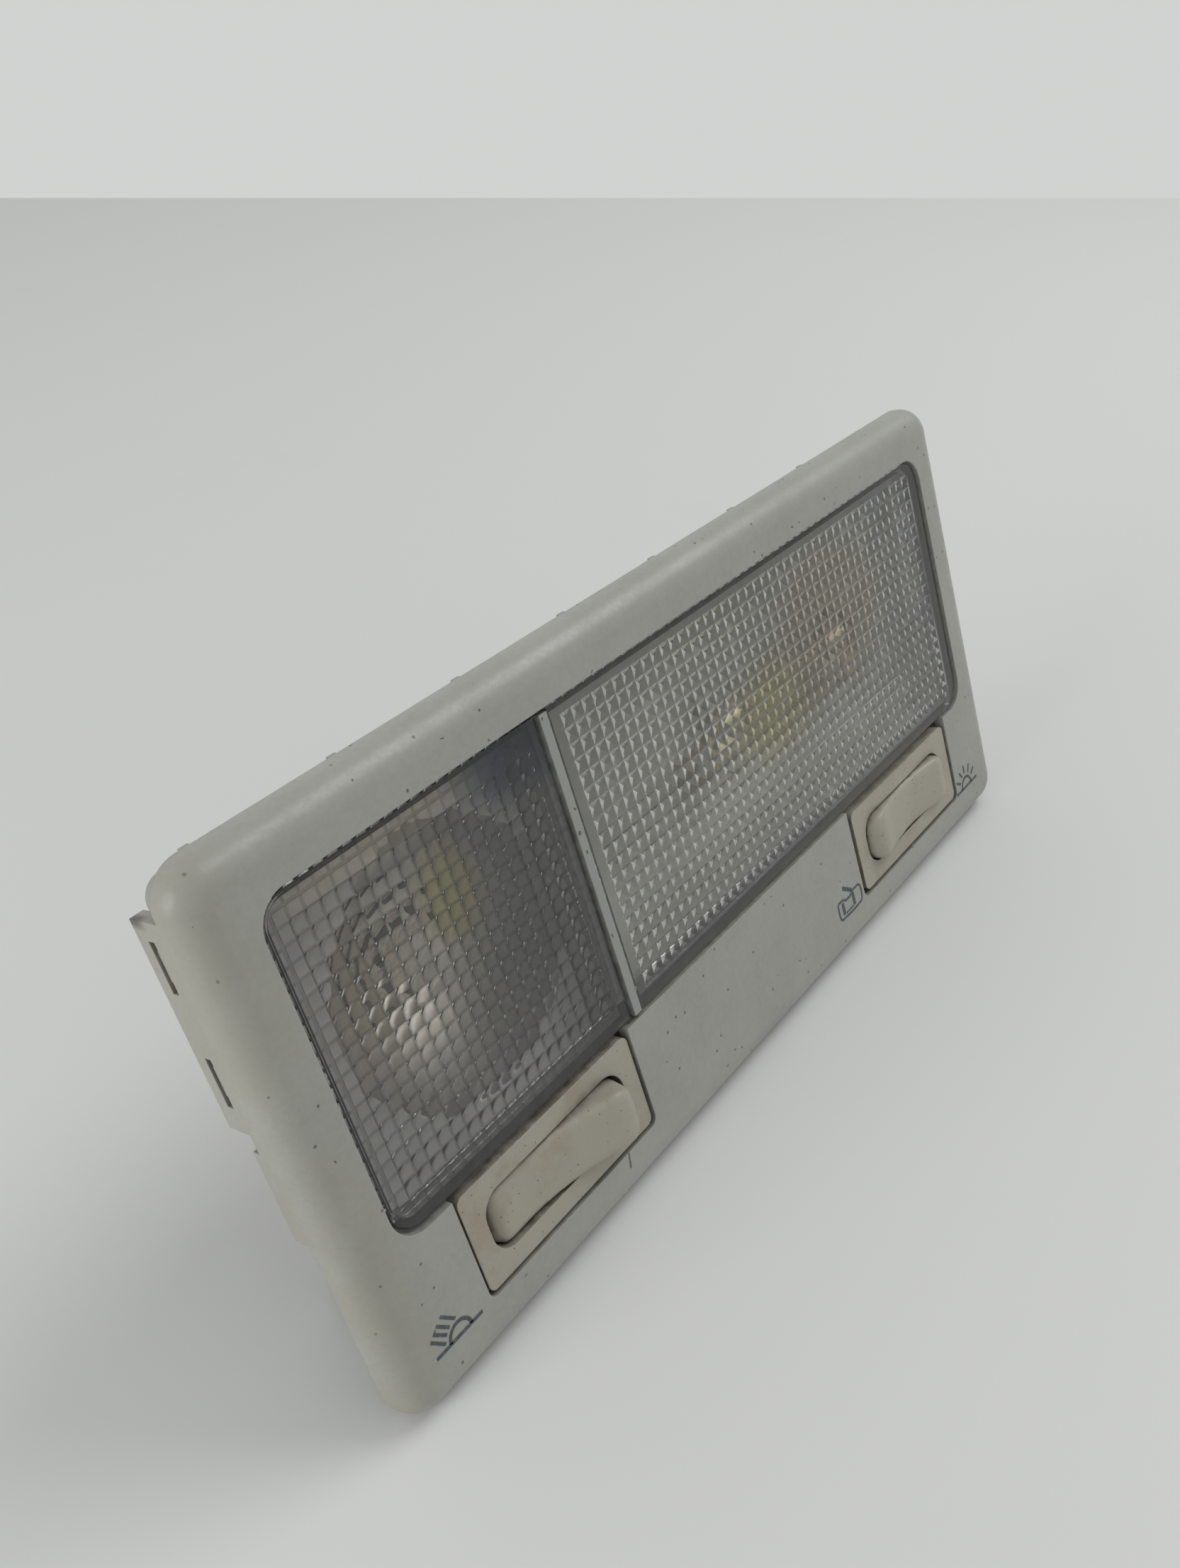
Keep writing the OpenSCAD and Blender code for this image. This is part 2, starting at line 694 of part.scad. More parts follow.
// A springy blade whose hole takes the cone of a bulb cap, on the side given by -1 or 1
module bulb_blade(side) {
    top_y = bulb_y - blade_w / 2;
    flare = 1.2;
    inner = bulb_x + side * blade_at;
    color(BRASS) difference() {
        translate([inner, 0, 0]) mirror([side > 0 ? 0 : 1, 0, 0]) {
            block(0, blade_t, top_y, strip_y, -blade_w / 2, blade_w / 2);
            translate([0, 0, -blade_w / 2]) linear_extrude(blade_w)
                polygon([[0, top_y + bite], [flare, top_y - flare], [flare + blade_t, top_y - flare],
                    [blade_t, top_y + bite]]);
        }
        at_bulb() cylinder(h = 2 * bulb_l, r = blade_hole_r + pivot_clearance, center = true);
    }
}

module main_contact_left() {
    bulb_blade(-1);
}

module main_contact_right() {
    bulb_blade(1);
}

module reading_bulb() {
    color(LENS_CLEAR) translate([reading_x, 0, 0]) {
        translate([0, bulb_tip_y + capless_r, 0]) sphere(capless_r);
        translate([0, bulb_tip_y + capless_r, 0]) rotate([-90, 0, 0])
            cylinder(h = pinch_start_y - bulb_tip_y - capless_r, r = capless_r);
        block(-pinch_w / 2, pinch_w / 2, pinch_start_y - bite, pinch_end_y, -pinch_t / 2, pinch_t / 2);
    }
}

// Twist-in holder: a neck through the base's back wall and a head behind the strips
module reading_bulb_holder() {
    neck_lead = 0.3;
    grip_inset = 1;
    slot_z = pinch_t / 2 + leaf_t + leaf_fit;
    color("dimgray") translate([reading_x, 0, 0]) difference() {
        union() {
            translate([0, pinch_start_y + neck_lead, 0]) rotate([-90, 0, 0])
                cylinder(h = strip_y - pinch_start_y, r = neck_r);
            translate([0, strip_y, 0]) rotate([-90, 0, 0]) cylinder(h = holder_l, r = holder_r);
            for (turn = [0, 90])
                rotate([0, turn, 0])
                    block(-grip_t / 2, grip_t / 2, strip_y + holder_l - bite, strip_y + holder_l + grip_h,
                        -holder_r + grip_inset, holder_r - grip_inset);
        }
        block(-pinch_w / 2 - seat_gap, pinch_w / 2 + seat_gap, pinch_start_y - over, pinch_end_y,
            -slot_z, slot_z);
        for (turn = [0, 180])
            rotate([0, turn, 0])
                block(pinch_w / 2 - leaf_t, leaf_reach + leaf_fit,
                    strip_y - over, strip_y + leaf_t + leaf_fit,
                    pinch_t / 2 - leaf_fit, pinch_t / 2 + 2 * leaf_t + leaf_fit);
    }
}

// Two leaves that grip the bulb's pinch, with feet that lie on the strips under the holder's head
module reading_contacts() {
    color(BRASS) translate([reading_x, 0, 0])
        for (turn = [0, 180])
            rotate([0, turn, 0]) {
                block(-pinch_w / 4, pinch_w / 2, pinch_start_y + leaf_inset, pinch_end_y - leaf_inset,
                    pinch_t / 2, pinch_t / 2 + leaf_t);
                block(pinch_w / 2 - leaf_t, leaf_reach, strip_y, strip_y + leaf_t,
                    pinch_t / 2, pinch_t / 2 + 2 * leaf_t);
            }
}

// Housing of a switch: a plate with a round-ended opening, and a box with bores for the pivot pins
module switch_housing(terminals) {
    plate_corner = 1.2;
    color(SWITCH_TAN) difference() {
        union() {
            deep(plate_recess, plate_recess + plate_t) rounded_rect(plate_w, plate_h, plate_corner);
            block(-box_w / 2, box_w / 2, plate_recess + plate_t - bite, switch_depth, -box_h / 2, box_h / 2);
        }
        deep(-over, plate_recess + plate_t + over) rounded_rect(rocker_slot_w, rocker_slot_h, slot_corner_r);
        block(-cavity_w / 2, cavity_w / 2, plate_recess + plate_t, switch_floor_y,
            -cavity_h / 2, cavity_h / 2);
        translate([0, pivot_y, 0])
            cylinder(h = cavity_h + 2 * pin_reach, r = pivot_r + pivot_clearance, center = true);
        terminal_slots(terminals);
    }
}

// Side profile of a rocker lying level: a hollow top between two round ends
module rocker_profile() {
    top = -rocker_rise;
    difference() {
        union() {
            translate([-end_x, top]) square([2 * end_x, rocker_skirt_y - top]);
            translate([-end_x - rocker_end_r, end_y])
                square([2 * (end_x + rocker_end_r), rocker_skirt_y - end_y]);
            for (side = [-1, 1])
                translate([side * end_x, end_y]) circle(rocker_end_r);
        }
        intersection() {
            translate([0, -rocker_mid_rise - hollow_r]) circle(hollow_r, $fn = 180);
            translate([-hollow_r * sin(hollow_angle), -hollow_r])
                square([2 * hollow_r * sin(hollow_angle), 2 * hollow_r]);
        }
    }
}

// A rocker lying level, with its pivot pins and the post for its contact bridge
module rocker() {
    post = 3.2;
    pin_end_gap = 0.1;
    color(SWITCH_TAN) union() {
        intersection() {
            translate([0, 0, -rocker_h / 2]) linear_extrude(rocker_h) rocker_profile();
            deep(-rocker_rise - over, rocker_skirt_y + over)
                rounded_rect(2 * (end_x + rocker_end_r), rocker_h, slot_corner_r - rocker_gap);
        }
        translate([0, pivot_y, 0])
            cylinder(h = cavity_h + 2 * (pin_reach - pin_end_gap), r = pivot_r, center = true);
        block(-post / 2, post / 2, rocker_skirt_y - bite, pivot_y + bridge_drop - bridge_t,
            -post / 2, post / 2);
    }
}

// Springy bridge with a contact button at each end, fixed to the rocker's post
module contact_bridge() {
    top = pivot_y + bridge_drop - bridge_t;
    color(BRASS) union() {
        block(-button_x - button_r, button_x + button_r, top, top + bridge_t, -bridge_w / 2, bridge_w / 2);
        for (side = [-1, 1])
            translate([side * button_x, top + bridge_t - bite, 0]) rotate([-90, 0, 0])
                cylinder(h = button_t + bite, r = button_r);
    }
}

// A switch's terminals: heads under the bridge and tails that reach the strips
module terminals(places) {
    half = terminal_head / 2;
    color(BRASS)
        for (x = places)
            translate([x, 0, 0]) {
                block(-half, half, x == 0 ? common_top_y : terminal_top_y, switch_floor_y, -half, half);
                block(-tail_t / 2, tail_t / 2, switch_floor_y - bite, base_depth, -tail_w / 2, tail_w / 2);
            }
}

module leaning(angle) {
    translate([0, pivot_y, 0]) rotate([0, 0, angle]) translate([0, -pivot_y, 0]) children();
}

module left_switch_housing() {
    at_left_switch() switch_housing([-button_x, 0]);
}

module left_rocker() {
    at_left_switch() leaning(-rocker_tilt) rocker();
}

module left_contact_bridge() {
    at_left_switch() leaning(-rocker_tilt) contact_bridge();
}

module left_terminals() {
    at_left_switch() terminals([-button_x, 0]);
}

module right_switch_housing() {
    at_right_switch() switch_housing([-button_x, 0, button_x]);
}

module right_rocker() {
    at_right_switch() rocker();
}

module right_contact_bridge() {
    at_right_switch() contact_bridge();
}

module right_terminals() {
    at_right_switch() terminals([-button_x, 0, button_x]);
}

// A stretch of strip between two points on the back face
module run(x0, z0, x1, z1) {
    half = strip_w / 2;
    block(min(x0, x1) - half, max(x0, x1) + half, base_depth, strip_y,
        min(z0, z1) - half, max(z0, z1) + half);
}

// Posts of the base that pin the strips down
module stakes(r, y0, y1) {
    for (x = stake_x)
        for (z = [shell_z, ground_z])
            translate([x, y0, z]) rotate([-90, 0, 0]) cylinder(h = y1 - y0, r = r);
}

module strip() {
    color(BRASS) difference() {
        union() children();
        stakes(stake_r + pivot_clearance, base_depth - over, strip_y + over);
    }
}

module supply_strip() {
    strip() {
        run(left_switch_x, shell_z, right_switch_x, shell_z);
        run(left_switch_x, shell_z, left_switch_x, left_switch_z);
        run(right_switch_x, shell_z, right_switch_x, right_switch_z);
    }
}

module ground_strip() {
    bulb_side = reading_x + strip_from_bulb;
    blade_x = bulb_x + blade_at + blade_t + strip_w / 2;
    strip() {
        run(bulb_side, ground_z, blade_x, ground_z);
        run(blade_x, ground_z, blade_x, 0);
        run(bulb_side, ground_z, bulb_side, strip_end_z);
    }
}

module door_strip() {
    end = right_switch_x - button_x;
    strip() {
        run(shell_x, door_z, end, door_z);
        run(end, door_z, end, right_switch_z);
    }
}

module reading_strip() {
    start = left_switch_x - button_x;
    bulb_side = reading_x - strip_from_bulb;
    strip() {
        run(start, left_switch_z, start, -holder_r - strip_w);
        run(start, -holder_r - strip_w, bulb_side, -holder_r - strip_w);
        run(bulb_side, -holder_r - strip_w, bulb_side, 0);
    }
}

module lamp_strip() {
    start = right_switch_x + button_x;
    blade_x = bulb_x - blade_at - blade_t - strip_w / 2;
    strip() {
        run(start, right_switch_z, start, lamp_run_z);
        run(start, lamp_run_z, blade_x, lamp_run_z);
        run(blade_x, lamp_run_z, blade_x, 0);
    }
}

// Shell of the plug socket, standing on the strips with its feet on the base
module connector_shell() {
    foot = 1.2;
    latch_w = 5;
    latch_h = 1;
    outer_r = 1;
    inner_r = 0.6;
    color("ivory") translate([shell_x, 0, shell_z]) difference() {
        union() {
            deep(strip_y, strip_y + shell_l) rounded_rect(shell_w, shell_h, outer_r);
            for (sz = [-1, 1])
                block(-shell_w / 2 + outer_r, shell_w / 2 - outer_r, base_depth, strip_y + bite,
                    sz * (shell_h / 2 - foot / 2) - foot / 2, sz * (shell_h / 2 - foot / 2) + foot / 2);
            block(-latch_w / 2, latch_w / 2, strip_y + shell_l / 3, strip_y + shell_l / 2,
                shell_h / 2 - bite, shell_h / 2 + latch_h);
        }
        deep(strip_y + shell_wall, strip_y + shell_l + over)
            rounded_rect(shell_w - 2 * shell_wall, shell_h - 2 * shell_wall, inner_r);
        for (row = [-1 : 1])
            block(-pin_w / 2, pin_w / 2, strip_y - over, strip_y + shell_wall + over,
                row * pin_pitch - pin_t / 2, row * pin_pitch + pin_t / 2);
    }
}

module connector_pins() {
    color(METAL) translate([shell_x, 0, shell_z])
        for (row = [-1 : 1])
            block(-pin_w / 2, pin_w / 2, strip_y, strip_y + shell_wall + pin_l,
                row * pin_pitch - pin_t / 2, row * pin_pitch + pin_t / 2);
}

module seated() {
    translate([0, -seat_y, 0]) children();
}

seated() bezel();
seated() lamp_base();
seated() main_lens();
seated() reading_lens();
seated() main_reflector();
seated() reading_reflector();
seated() main_bulb_glass();
seated() main_bulb_caps();
seated() main_contact_left();
seated() main_contact_right();
seated() reading_bulb();
seated() reading_bulb_holder();
seated() reading_contacts();
seated() left_switch_housing();
seated() left_rocker();
seated() left_contact_bridge();
seated() left_terminals();
seated() right_switch_housing();
seated() right_rocker();
seated() right_contact_bridge();
seated() right_terminals();
seated() supply_strip();
seated() ground_strip();
seated() door_strip();
seated() reading_strip();
seated() lamp_strip();
seated() connector_shell();
seated() connector_pins();
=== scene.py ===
"""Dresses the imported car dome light: finishes, bulbs, soft rockers, printed signs and dirt.

Lengths are in millimetres unless a name says otherwise, in the part's own frame: X along the
lamp, Z up its short side, and the light leaves towards -Y.
"""

import math

import bmesh
import bpy
from mathutils import Matrix, Vector


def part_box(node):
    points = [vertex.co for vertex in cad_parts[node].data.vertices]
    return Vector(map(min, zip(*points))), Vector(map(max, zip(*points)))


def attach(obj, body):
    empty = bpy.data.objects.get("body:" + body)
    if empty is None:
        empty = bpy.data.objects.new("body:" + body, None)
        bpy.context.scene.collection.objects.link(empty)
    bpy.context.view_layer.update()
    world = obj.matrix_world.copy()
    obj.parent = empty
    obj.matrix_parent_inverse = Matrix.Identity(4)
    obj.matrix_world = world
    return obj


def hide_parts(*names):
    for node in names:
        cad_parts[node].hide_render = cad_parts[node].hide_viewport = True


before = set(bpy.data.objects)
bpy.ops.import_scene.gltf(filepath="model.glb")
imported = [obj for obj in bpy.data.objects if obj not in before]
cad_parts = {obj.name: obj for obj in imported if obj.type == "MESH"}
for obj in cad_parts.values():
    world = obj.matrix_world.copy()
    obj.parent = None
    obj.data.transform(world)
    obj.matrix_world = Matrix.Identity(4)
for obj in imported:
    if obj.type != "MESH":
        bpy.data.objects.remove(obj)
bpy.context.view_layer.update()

bl_info = {
    "name": "Car dome light",
    "version": (1, 0, 0),
    "blender": (4, 5, 0),
    "location": "3D View > Sidebar > Dome Light",
    "description": "Dresses a packed car dome light and sets up its stage",
    "category": "Object",
}

MM = 0.001

# The bezel's grey face, and its window's top left corner, which the marks and signs are placed from.
LENS_GAP = 0.4
GREY_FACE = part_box("bezel")[0].y / MM
WINDOW_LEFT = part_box("reading_lens")[0].x / MM - LENS_GAP
WINDOW_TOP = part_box("reading_lens")[1].z / MM + LENS_GAP


# Settings


class FinishSettings(bpy.types.PropertyGroup):
    """Colours of the lamp's pieces, as they look under even white light."""

    bezel: bpy.props.FloatVectorProperty(
        name="Bezel", description="Grey of the moulded bezel",
        default=(0.345, 0.35, 0.315), subtype="COLOR", min=0, max=1)
    bezel_aged: bpy.props.FloatVectorProperty(
        name="Aged bezel", description="Yellowed grey at the bezel's left end",
        default=(0.31, 0.295, 0.235), subtype="COLOR", min=0, max=1)
    base: bpy.props.FloatVectorProperty(
        name="Lamp base", description="Grey of the moulded lamp base",
        default=(0.31, 0.32, 0.295), subtype="COLOR", min=0, max=1)
    switch: bpy.props.FloatVectorProperty(
        name="Switches", description="Warm grey of the rockers and their plates",
        default=(0.385, 0.36, 0.297), subtype="COLOR", min=0, max=1)
    ink: bpy.props.FloatVectorProperty(
        name="Printed signs", description="Dark blue-grey of the printed signs",
        default=(0.06, 0.075, 0.085), subtype="COLOR", min=0, max=1)
    # The dark colour of the marks and specks, and of the dirt and painted shade where surfaces meet.
    dirt: bpy.props.FloatVectorProperty(
        name="Dirt and shade", description="Dirt in the corners and on the wear marks",
        default=(0.06, 0.05, 0.04), subtype="COLOR", min=0, max=1)
    lens: bpy.props.FloatVectorProperty(
        name="Room lens", description="Tint of the room lamp's lens",
        default=(0.86, 0.87, 0.85), subtype="COLOR", min=0, max=1)
    reading_lens: bpy.props.FloatVectorProperty(
        name="Reading lens", description="Tint of the reading lamp's lens",
        default=(0.80, 0.81, 0.82), subtype="COLOR", min=0, max=1)


class ShapeSettings(bpy.types.PropertyGroup):
    """Sizes of the pieces that are modelled here."""

    rocker_voxel: bpy.props.FloatProperty(
        name="Rocker detail", description="Size of the voxels that the soft rockers are made from",
        default=0.36 * MM, unit="LENGTH", min=0.15 * MM, max=1 * MM)
    rocker_smoothing: bpy.props.IntProperty(
        name="Rocker softness", description="How often the rockers' surface is smoothed",
        default=44, min=0, max=80)
    rocker_fullness: bpy.props.FloatProperty(
        name="Rocker fullness", description="How far the smoothed rockers' surface is moved out again",
        default=0.08 * MM, unit="LENGTH", min=0, max=0.25 * MM)
    ink_height: bpy.props.FloatProperty(
        name="Ink height", description="Thickness of the printed signs",
        default=0.03 * MM, unit="LENGTH", min=0.01 * MM, max=0.1 * MM)
    filament_turns: bpy.props.IntProperty(
        name="Filament turns", description="Turns of the room lamp's filament",
        default=22, min=8, max=60)
    lens_wall: bpy.props.FloatProperty(
        name="Lens wall", description="Thickness of the lenses' front wall",
        default=1.8 * MM, unit="LENGTH", min=1 * MM, max=3 * MM)
    lens_skirt: bpy.props.FloatProperty(
        name="Lens skirt", description="Thickness of the lenses' skirt",
        default=1.2 * MM, unit="LENGTH", min=0.8 * MM, max=2 * MM)
    pillow_pitch: bpy.props.FloatProperty(
        name="Pillow pitch", description="Distance between the reading lens's pillows",
        default=2.2 * MM, unit="LENGTH", min=1.5 * MM, max=4 * MM)
    pillow_rise: bpy.props.FloatProperty(
        name="Pillow rise", description="Height of each pillow inside the reading lens",
        default=0.18 * MM, unit="LENGTH", min=0.05 * MM, max=0.6 * MM)
    glass_wall: bpy.props.FloatProperty(
        name="Bulb wall", description="Thickness of the bulbs' glass",
        default=0.5 * MM, unit="LENGTH", min=0.2 * MM, max=1 * MM)


class StageSettings(bpy.types.PropertyGroup):
    """The floor, the lamps and the camera."""

    floor: bpy.props.FloatVectorProperty(
        name="Floor", description="Colour of the pale floor",
        default=(0.70, 0.71, 0.69), subtype="COLOR", min=0, max=1)
    backdrop: bpy.props.FloatVectorProperty(
        name="Backdrop", description="Colour of the wall behind the floor's far edge",
        default=(0.63, 0.65, 0.635), subtype="COLOR", min=0, max=1)
    lean: bpy.props.FloatProperty(
        name="Lean", description="How far the lamp leans back on the floor",
        default=math.radians(20.5), subtype="ANGLE", min=0, max=math.radians(40))
    far_edge_angle: bpy.props.FloatProperty(
        name="Far edge", description="Angle at which the camera looks down at the floor's far edge",
        default=math.radians(12.4), subtype="ANGLE", min=math.radians(2), max=math.radians(40))
    sky_level: bpy.props.FloatProperty(
        name="Room light", description="Strength of the even light from all round",
        default=0.5, min=0, max=2)
    key_power: bpy.props.FloatProperty(
        name="Ceiling light", description="Power of the large soft lamp overhead",
        default=3.4, unit="POWER", min=0, max=50)
    fill_power: bpy.props.FloatProperty(
        name="Window light", description="Power of the soft lamp at the left",
        default=1.75, unit="POWER", min=0, max=50)
    focal_length: bpy.props.FloatProperty(
        name="Focal length", description="Focal length of the camera on a 36 mm frame",
        default=30.6, min=20, max=100)
    camera_place: bpy.props.FloatVectorProperty(
        name="Camera", description="Where the camera stands",
        default=(-0.13554, -0.12700, 0.07705), unit="LENGTH")


# Node helpers


def node_in(tree, kind, inputs=None, **settings):
    """Adds a node, sets its options and sets or links its inputs."""
    node = tree.nodes.new(kind)
    for name, value in settings.items():
        setattr(node, name, value)
    for name, value in (inputs or {}).items():
        socket = node.inputs[name]
        if isinstance(value, bpy.types.NodeSocket):
            tree.links.new(value, socket)
        else:
            socket.default_value = value
    return node


def calculate(tree, operation, a, b=0.0, clamp=False):
    """One step of arithmetic on numbers or masks."""
    return node_in(tree, "ShaderNodeMath", {0: a, 1: b}, operation=operation, use_clamp=clamp).outputs[0]


def product(tree, first, *others):
    """Multiplies masks and shares."""
    for other in others:
        first = calculate(tree, "MULTIPLY", first, other)
    return first


def on_vector(tree, operation, inputs):
    """A vector node; gives back its outputs."""
    return node_in(tree, "ShaderNodeVectorMath", inputs, operation=operation).outputs


def ramp(tree, value, start, end, low=0.0, high=1.0):
    """Goes smoothly from low to high while value goes from start to end."""
    return node_in(
        tree, "ShaderNodeMapRange",
        {"Value": value, "From Min": start, "From Max": end, "To Min": low, "To Max": high},
        interpolation_type="SMOOTHSTEP").outputs["Result"]


def tint(tree, mask, base, other):
    """Mixes two colours by a mask."""
    return node_in(tree, "ShaderNodeMix", {0: mask, 6: base, 7: other}, data_type="RGBA").outputs[2]


def blend(tree, mask, base, other):
    """Mixes two shaders by a mask."""
    return node_in(tree, "ShaderNodeMixShader", {0: mask, 1: base, 2: other}).outputs[0]


def rgba(colour, strength=1.0):
    """A colour made lighter or darker, with full alpha."""
    return (*(min(1.0, c * strength) for c in colour), 1.0)


def place_in_mm(tree):
    """The point on the surface, in millimetres."""
    place = node_in(tree, "ShaderNodeTexCoord").outputs["Object"]
    return on_vector(tree, "SCALE", {0: place, "Scale": 1 / MM})[0]


def axes_in_mm(tree):
    """The point on the surface in millimetres, as separate X, Y and Z."""
    return node_in(tree, "ShaderNodeSeparateXYZ", {0: place_in_mm(tree)}).outputs


def cloud(tree, place, scale, detail=3.0, roughness=0.55):
    """Soft noise from 0 to 1, with scale waves to a unit of place."""
    return node_in(
        tree, "ShaderNodeTexNoise",
        {"Vector": place, "Scale": scale, "Detail": detail, "Roughness": roughness}).outputs["Fac"]


def group_with(name, inputs, outputs):
    """An empty shader group with named number inputs and outputs."""
    group = bpy.data.node_groups.new(name, "ShaderNodeTree")
    for label, default in inputs.items():
        socket = group.interface.new_socket(label, in_out="INPUT", socket_type="NodeSocketFloat")
        socket.default_value = default
    for label in outputs:
        group.interface.new_socket(label, in_out="OUTPUT", socket_type="NodeSocketFloat")
    return group, group.nodes.new("NodeGroupInput").outputs, group.nodes.new("NodeGroupOutput").inputs


def moulded_grain():
    """Fine speckled grain of a moulded plastic, with a slow change of tone."""
    group = bpy.data.node_groups.get("moulded grain")
    if group:
        return group
    fine_share, slow_share = 0.4, 0.6
    group, given, made = group_with(
        "moulded grain", {"Grain per mm": 3.0, "Patches per mm": 0.08}, ["Tone", "Height"])
    place = place_in_mm(group)
    fine = cloud(group, place, given["Grain per mm"], 2.0, 0.6)
    slow = cloud(group, place, given["Patches per mm"], 4.0, 0.6)
    tone = calculate(group, "ADD", product(group, fine, fine_share), product(group, slow, slow_share))
    group.links.new(tone, made["Tone"])
    group.links.new(fine, made["Height"])
    return group


def dark_specks():
    """Scattered dark specks of different sizes."""
    group = bpy.data.node_groups.get("dark specks")
    if group:
        return group
    raggedness, ragged_per_mm = 0.1, 2.5
    group, given, made = group_with(
        "dark specks", {"Specks per mm": 0.35, "Size": 0.1, "Share": 0.5}, ["Specks"])
    place = place_in_mm(group)
    cells = node_in(group, "ShaderNodeTexVoronoi", {"Vector": place, "Scale": given["Specks per mm"]}).outputs
    drawn = node_in(group, "ShaderNodeSeparateColor", {0: cells["Color"]}).outputs[0]
    kept = calculate(group, "LESS_THAN", drawn, given["Share"])
    ragged = product(group, cloud(group, place, ragged_per_mm), raggedness)
    away = calculate(group, "ADD", cells["Distance"], ragged)
    near = calculate(group, "LESS_THAN", away, given["Size"])
    group.links.new(product(group, kept, near), made["Specks"])
    return group


def edge_wear():
    """A mask along the edges of a piece, broken up as wear is."""
    group = bpy.data.node_groups.get("edge wear")
    if group:
        return group
    flat, rounded_off = 0.995, 0.9
    group, given, made = group_with("edge wear", {"Width": 0.5 * MM, "Patches per mm": 0.5}, ["Wear"])
    rounded = node_in(group, "ShaderNodeBevel", {"Radius": given["Width"]}, samples=4).outputs[0]
    plain = node_in(group, "ShaderNodeNewGeometry").outputs["Normal"]
    along = on_vector(group, "DOT_PRODUCT", {0: rounded, 1: plain})["Value"]
    edge = ramp(group, along, flat, rounded_off)
    patches = ramp(group, cloud(group, place_in_mm(group), given["Patches per mm"]), 0.42, 0.62)
    group.links.new(product(group, edge, patches), made["Wear"])
    return group


def dirt_and_painted_shade():
    """Darkens where surfaces meet, by ambient occlusion: dirt that gathers there, and painted shade."""
    group = bpy.data.node_groups.get("settled dirt")
    if group:
        return group
    wide_open, closed_in, patches_per_mm, thinnest = 0.95, 0.45, 0.6, 0.35
    group, given, made = group_with("settled dirt", {"Reach": 2 * MM, "Amount": 0.6}, ["Dirt and shade"])
    # The occlusion mask: painted shade where surfaces meet, which stands for dirt too.
    sky = node_in(group, "ShaderNodeAmbientOcclusion", {"Distance": given["Reach"]}, samples=6).outputs["AO"]
    closed = ramp(group, sky, wide_open, closed_in)
    patches = ramp(group, cloud(group, place_in_mm(group), patches_per_mm), 0.3, 0.7, thinnest, 1.0)
    group.links.new(product(group, closed, patches, given["Amount"]), made["Dirt and shade"])
    return group


def use(tree, group, **values):
    """Places a shared group in a material, with its own values."""
    return node_in(tree, "ShaderNodeGroup", {k.replace("_", " "): v for k, v in values.items()},
                   node_tree=group).outputs


# Materials


def new_finish(name, **values):
    """A material with one Principled shader, whose plain values are set on its sockets."""
    finish = bpy.data.materials.new(name)
    finish.use_nodes = True
    tree = finish.node_tree
    shader = tree.nodes["Principled BSDF"]
    for label, value in values.items():
        shader.inputs[label.replace("_", " ")].default_value = value
    return finish, tree, shader.inputs


def short_mark(tree, place, start, end, width):
    """A mask over a short straight mark; its ends are from the window's top left corner."""
    low = Vector((WINDOW_LEFT + start[0], 0, WINDOW_TOP + start[1]))
    run = Vector((end[0] - start[0], 0, end[1] - start[1]))
    flat = on_vector(tree, "MULTIPLY", {0: place, 1: (1, 0, 1)})[0]
    away = on_vector(tree, "SUBTRACT", {0: flat, 1: low})[0]
    along = on_vector(tree, "DOT_PRODUCT", {0: away, 1: run})["Value"]
    share = calculate(tree, "DIVIDE", along, run.length_squared, clamp=True)
    nearest = on_vector(tree, "SCALE", {0: run, "Scale": share})[0]
    gap = on_vector(tree, "DISTANCE", {0: away, 1: nearest})["Value"]
    ragged = product(tree, cloud(tree, place, 3.0), width)
    return ramp(tree, calculate(tree, "ADD", gap, ragged), width * 1.2, width * 0.8)


def marked(tree, body, marks, dirt_and_shade_colour, share=1.0):
    """Draws short dirty marks over a colour."""
    place = place_in_mm(tree)
    for start, end, width in marks:
        mark = short_mark(tree, place, start, end, width)
        body = tint(tree, product(tree, mark, share), body, rgba(dirt_and_shade_colour))
    return body


def relief(tree, shader, height, depth, edge_radius=0.0):
    """Bump of a given depth in metres, over edges rounded by edge_radius."""
    bump = node_in(tree, "ShaderNodeBump", {"Height": height, "Distance": depth, "Strength": 1.0})
    if edge_radius:
        rounded = node_in(tree, "ShaderNodeBevel", {"Radius": edge_radius}, samples=6).outputs[0]
        tree.links.new(rounded, bump.inputs["Normal"])
    tree.links.new(bump.outputs[0], shader["Normal"])


# How strongly wear lightens a plastic and specks darken it, and the specks' size in cells.
WEAR_SHARE = 0.35
WEAR_STRENGTH = 1.35
SPECK_SHARE = 0.75
SPECK_SIZE = 0.16


def plastic(name, colour, dirt_and_shade_colour, roughness=0.42, grain_per_mm=3.0, tone=0.14, dirt=0.6,
            specks=0.4, specks_per_mm=0.35, stain=None, stain_share=0.0):
    """Moulded plastic with grain, worn edges, specks, and dirt and painted shade where surfaces meet."""
    finish, tree, shader = new_finish(name)
    grain = use(tree, moulded_grain(), Grain_per_mm=grain_per_mm)
    body = tint(tree, grain["Tone"], rgba(colour, 1 - tone), rgba(colour, 1 + tone))
    if stain:
        stains = ramp(tree, cloud(tree, place_in_mm(tree), 0.12, 5.0, 0.65), 0.48, 0.68, 0.0, stain_share)
        body = tint(tree, stains, body, rgba(stain))
    wear = product(tree, use(tree, edge_wear())["Wear"], WEAR_SHARE)
    body = tint(tree, wear, body, rgba(colour, WEAR_STRENGTH))
    # Dirt and painted shade where surfaces meet, from the occlusion mask.
    body = tint(tree, use(tree, dirt_and_painted_shade(), Amount=dirt)["Dirt and shade"], body, rgba(dirt_and_shade_colour))
    marks = use(tree, dark_specks(), Share=specks, Specks_per_mm=specks_per_mm, Size=SPECK_SIZE)["Specks"]
    body = tint(tree, product(tree, marks, SPECK_SHARE), body, rgba(dirt_and_shade_colour))
    tree.links.new(body, shader["Base Color"])
    rough = ramp(tree, grain["Tone"], 0.3, 0.7, roughness + 0.08, roughness - 0.06)
    tree.links.new(rough, shader["Roughness"])
    relief(tree, shader, grain["Height"], 0.02 * MM, 0.25 * MM)
    return finish, tree, shader, body


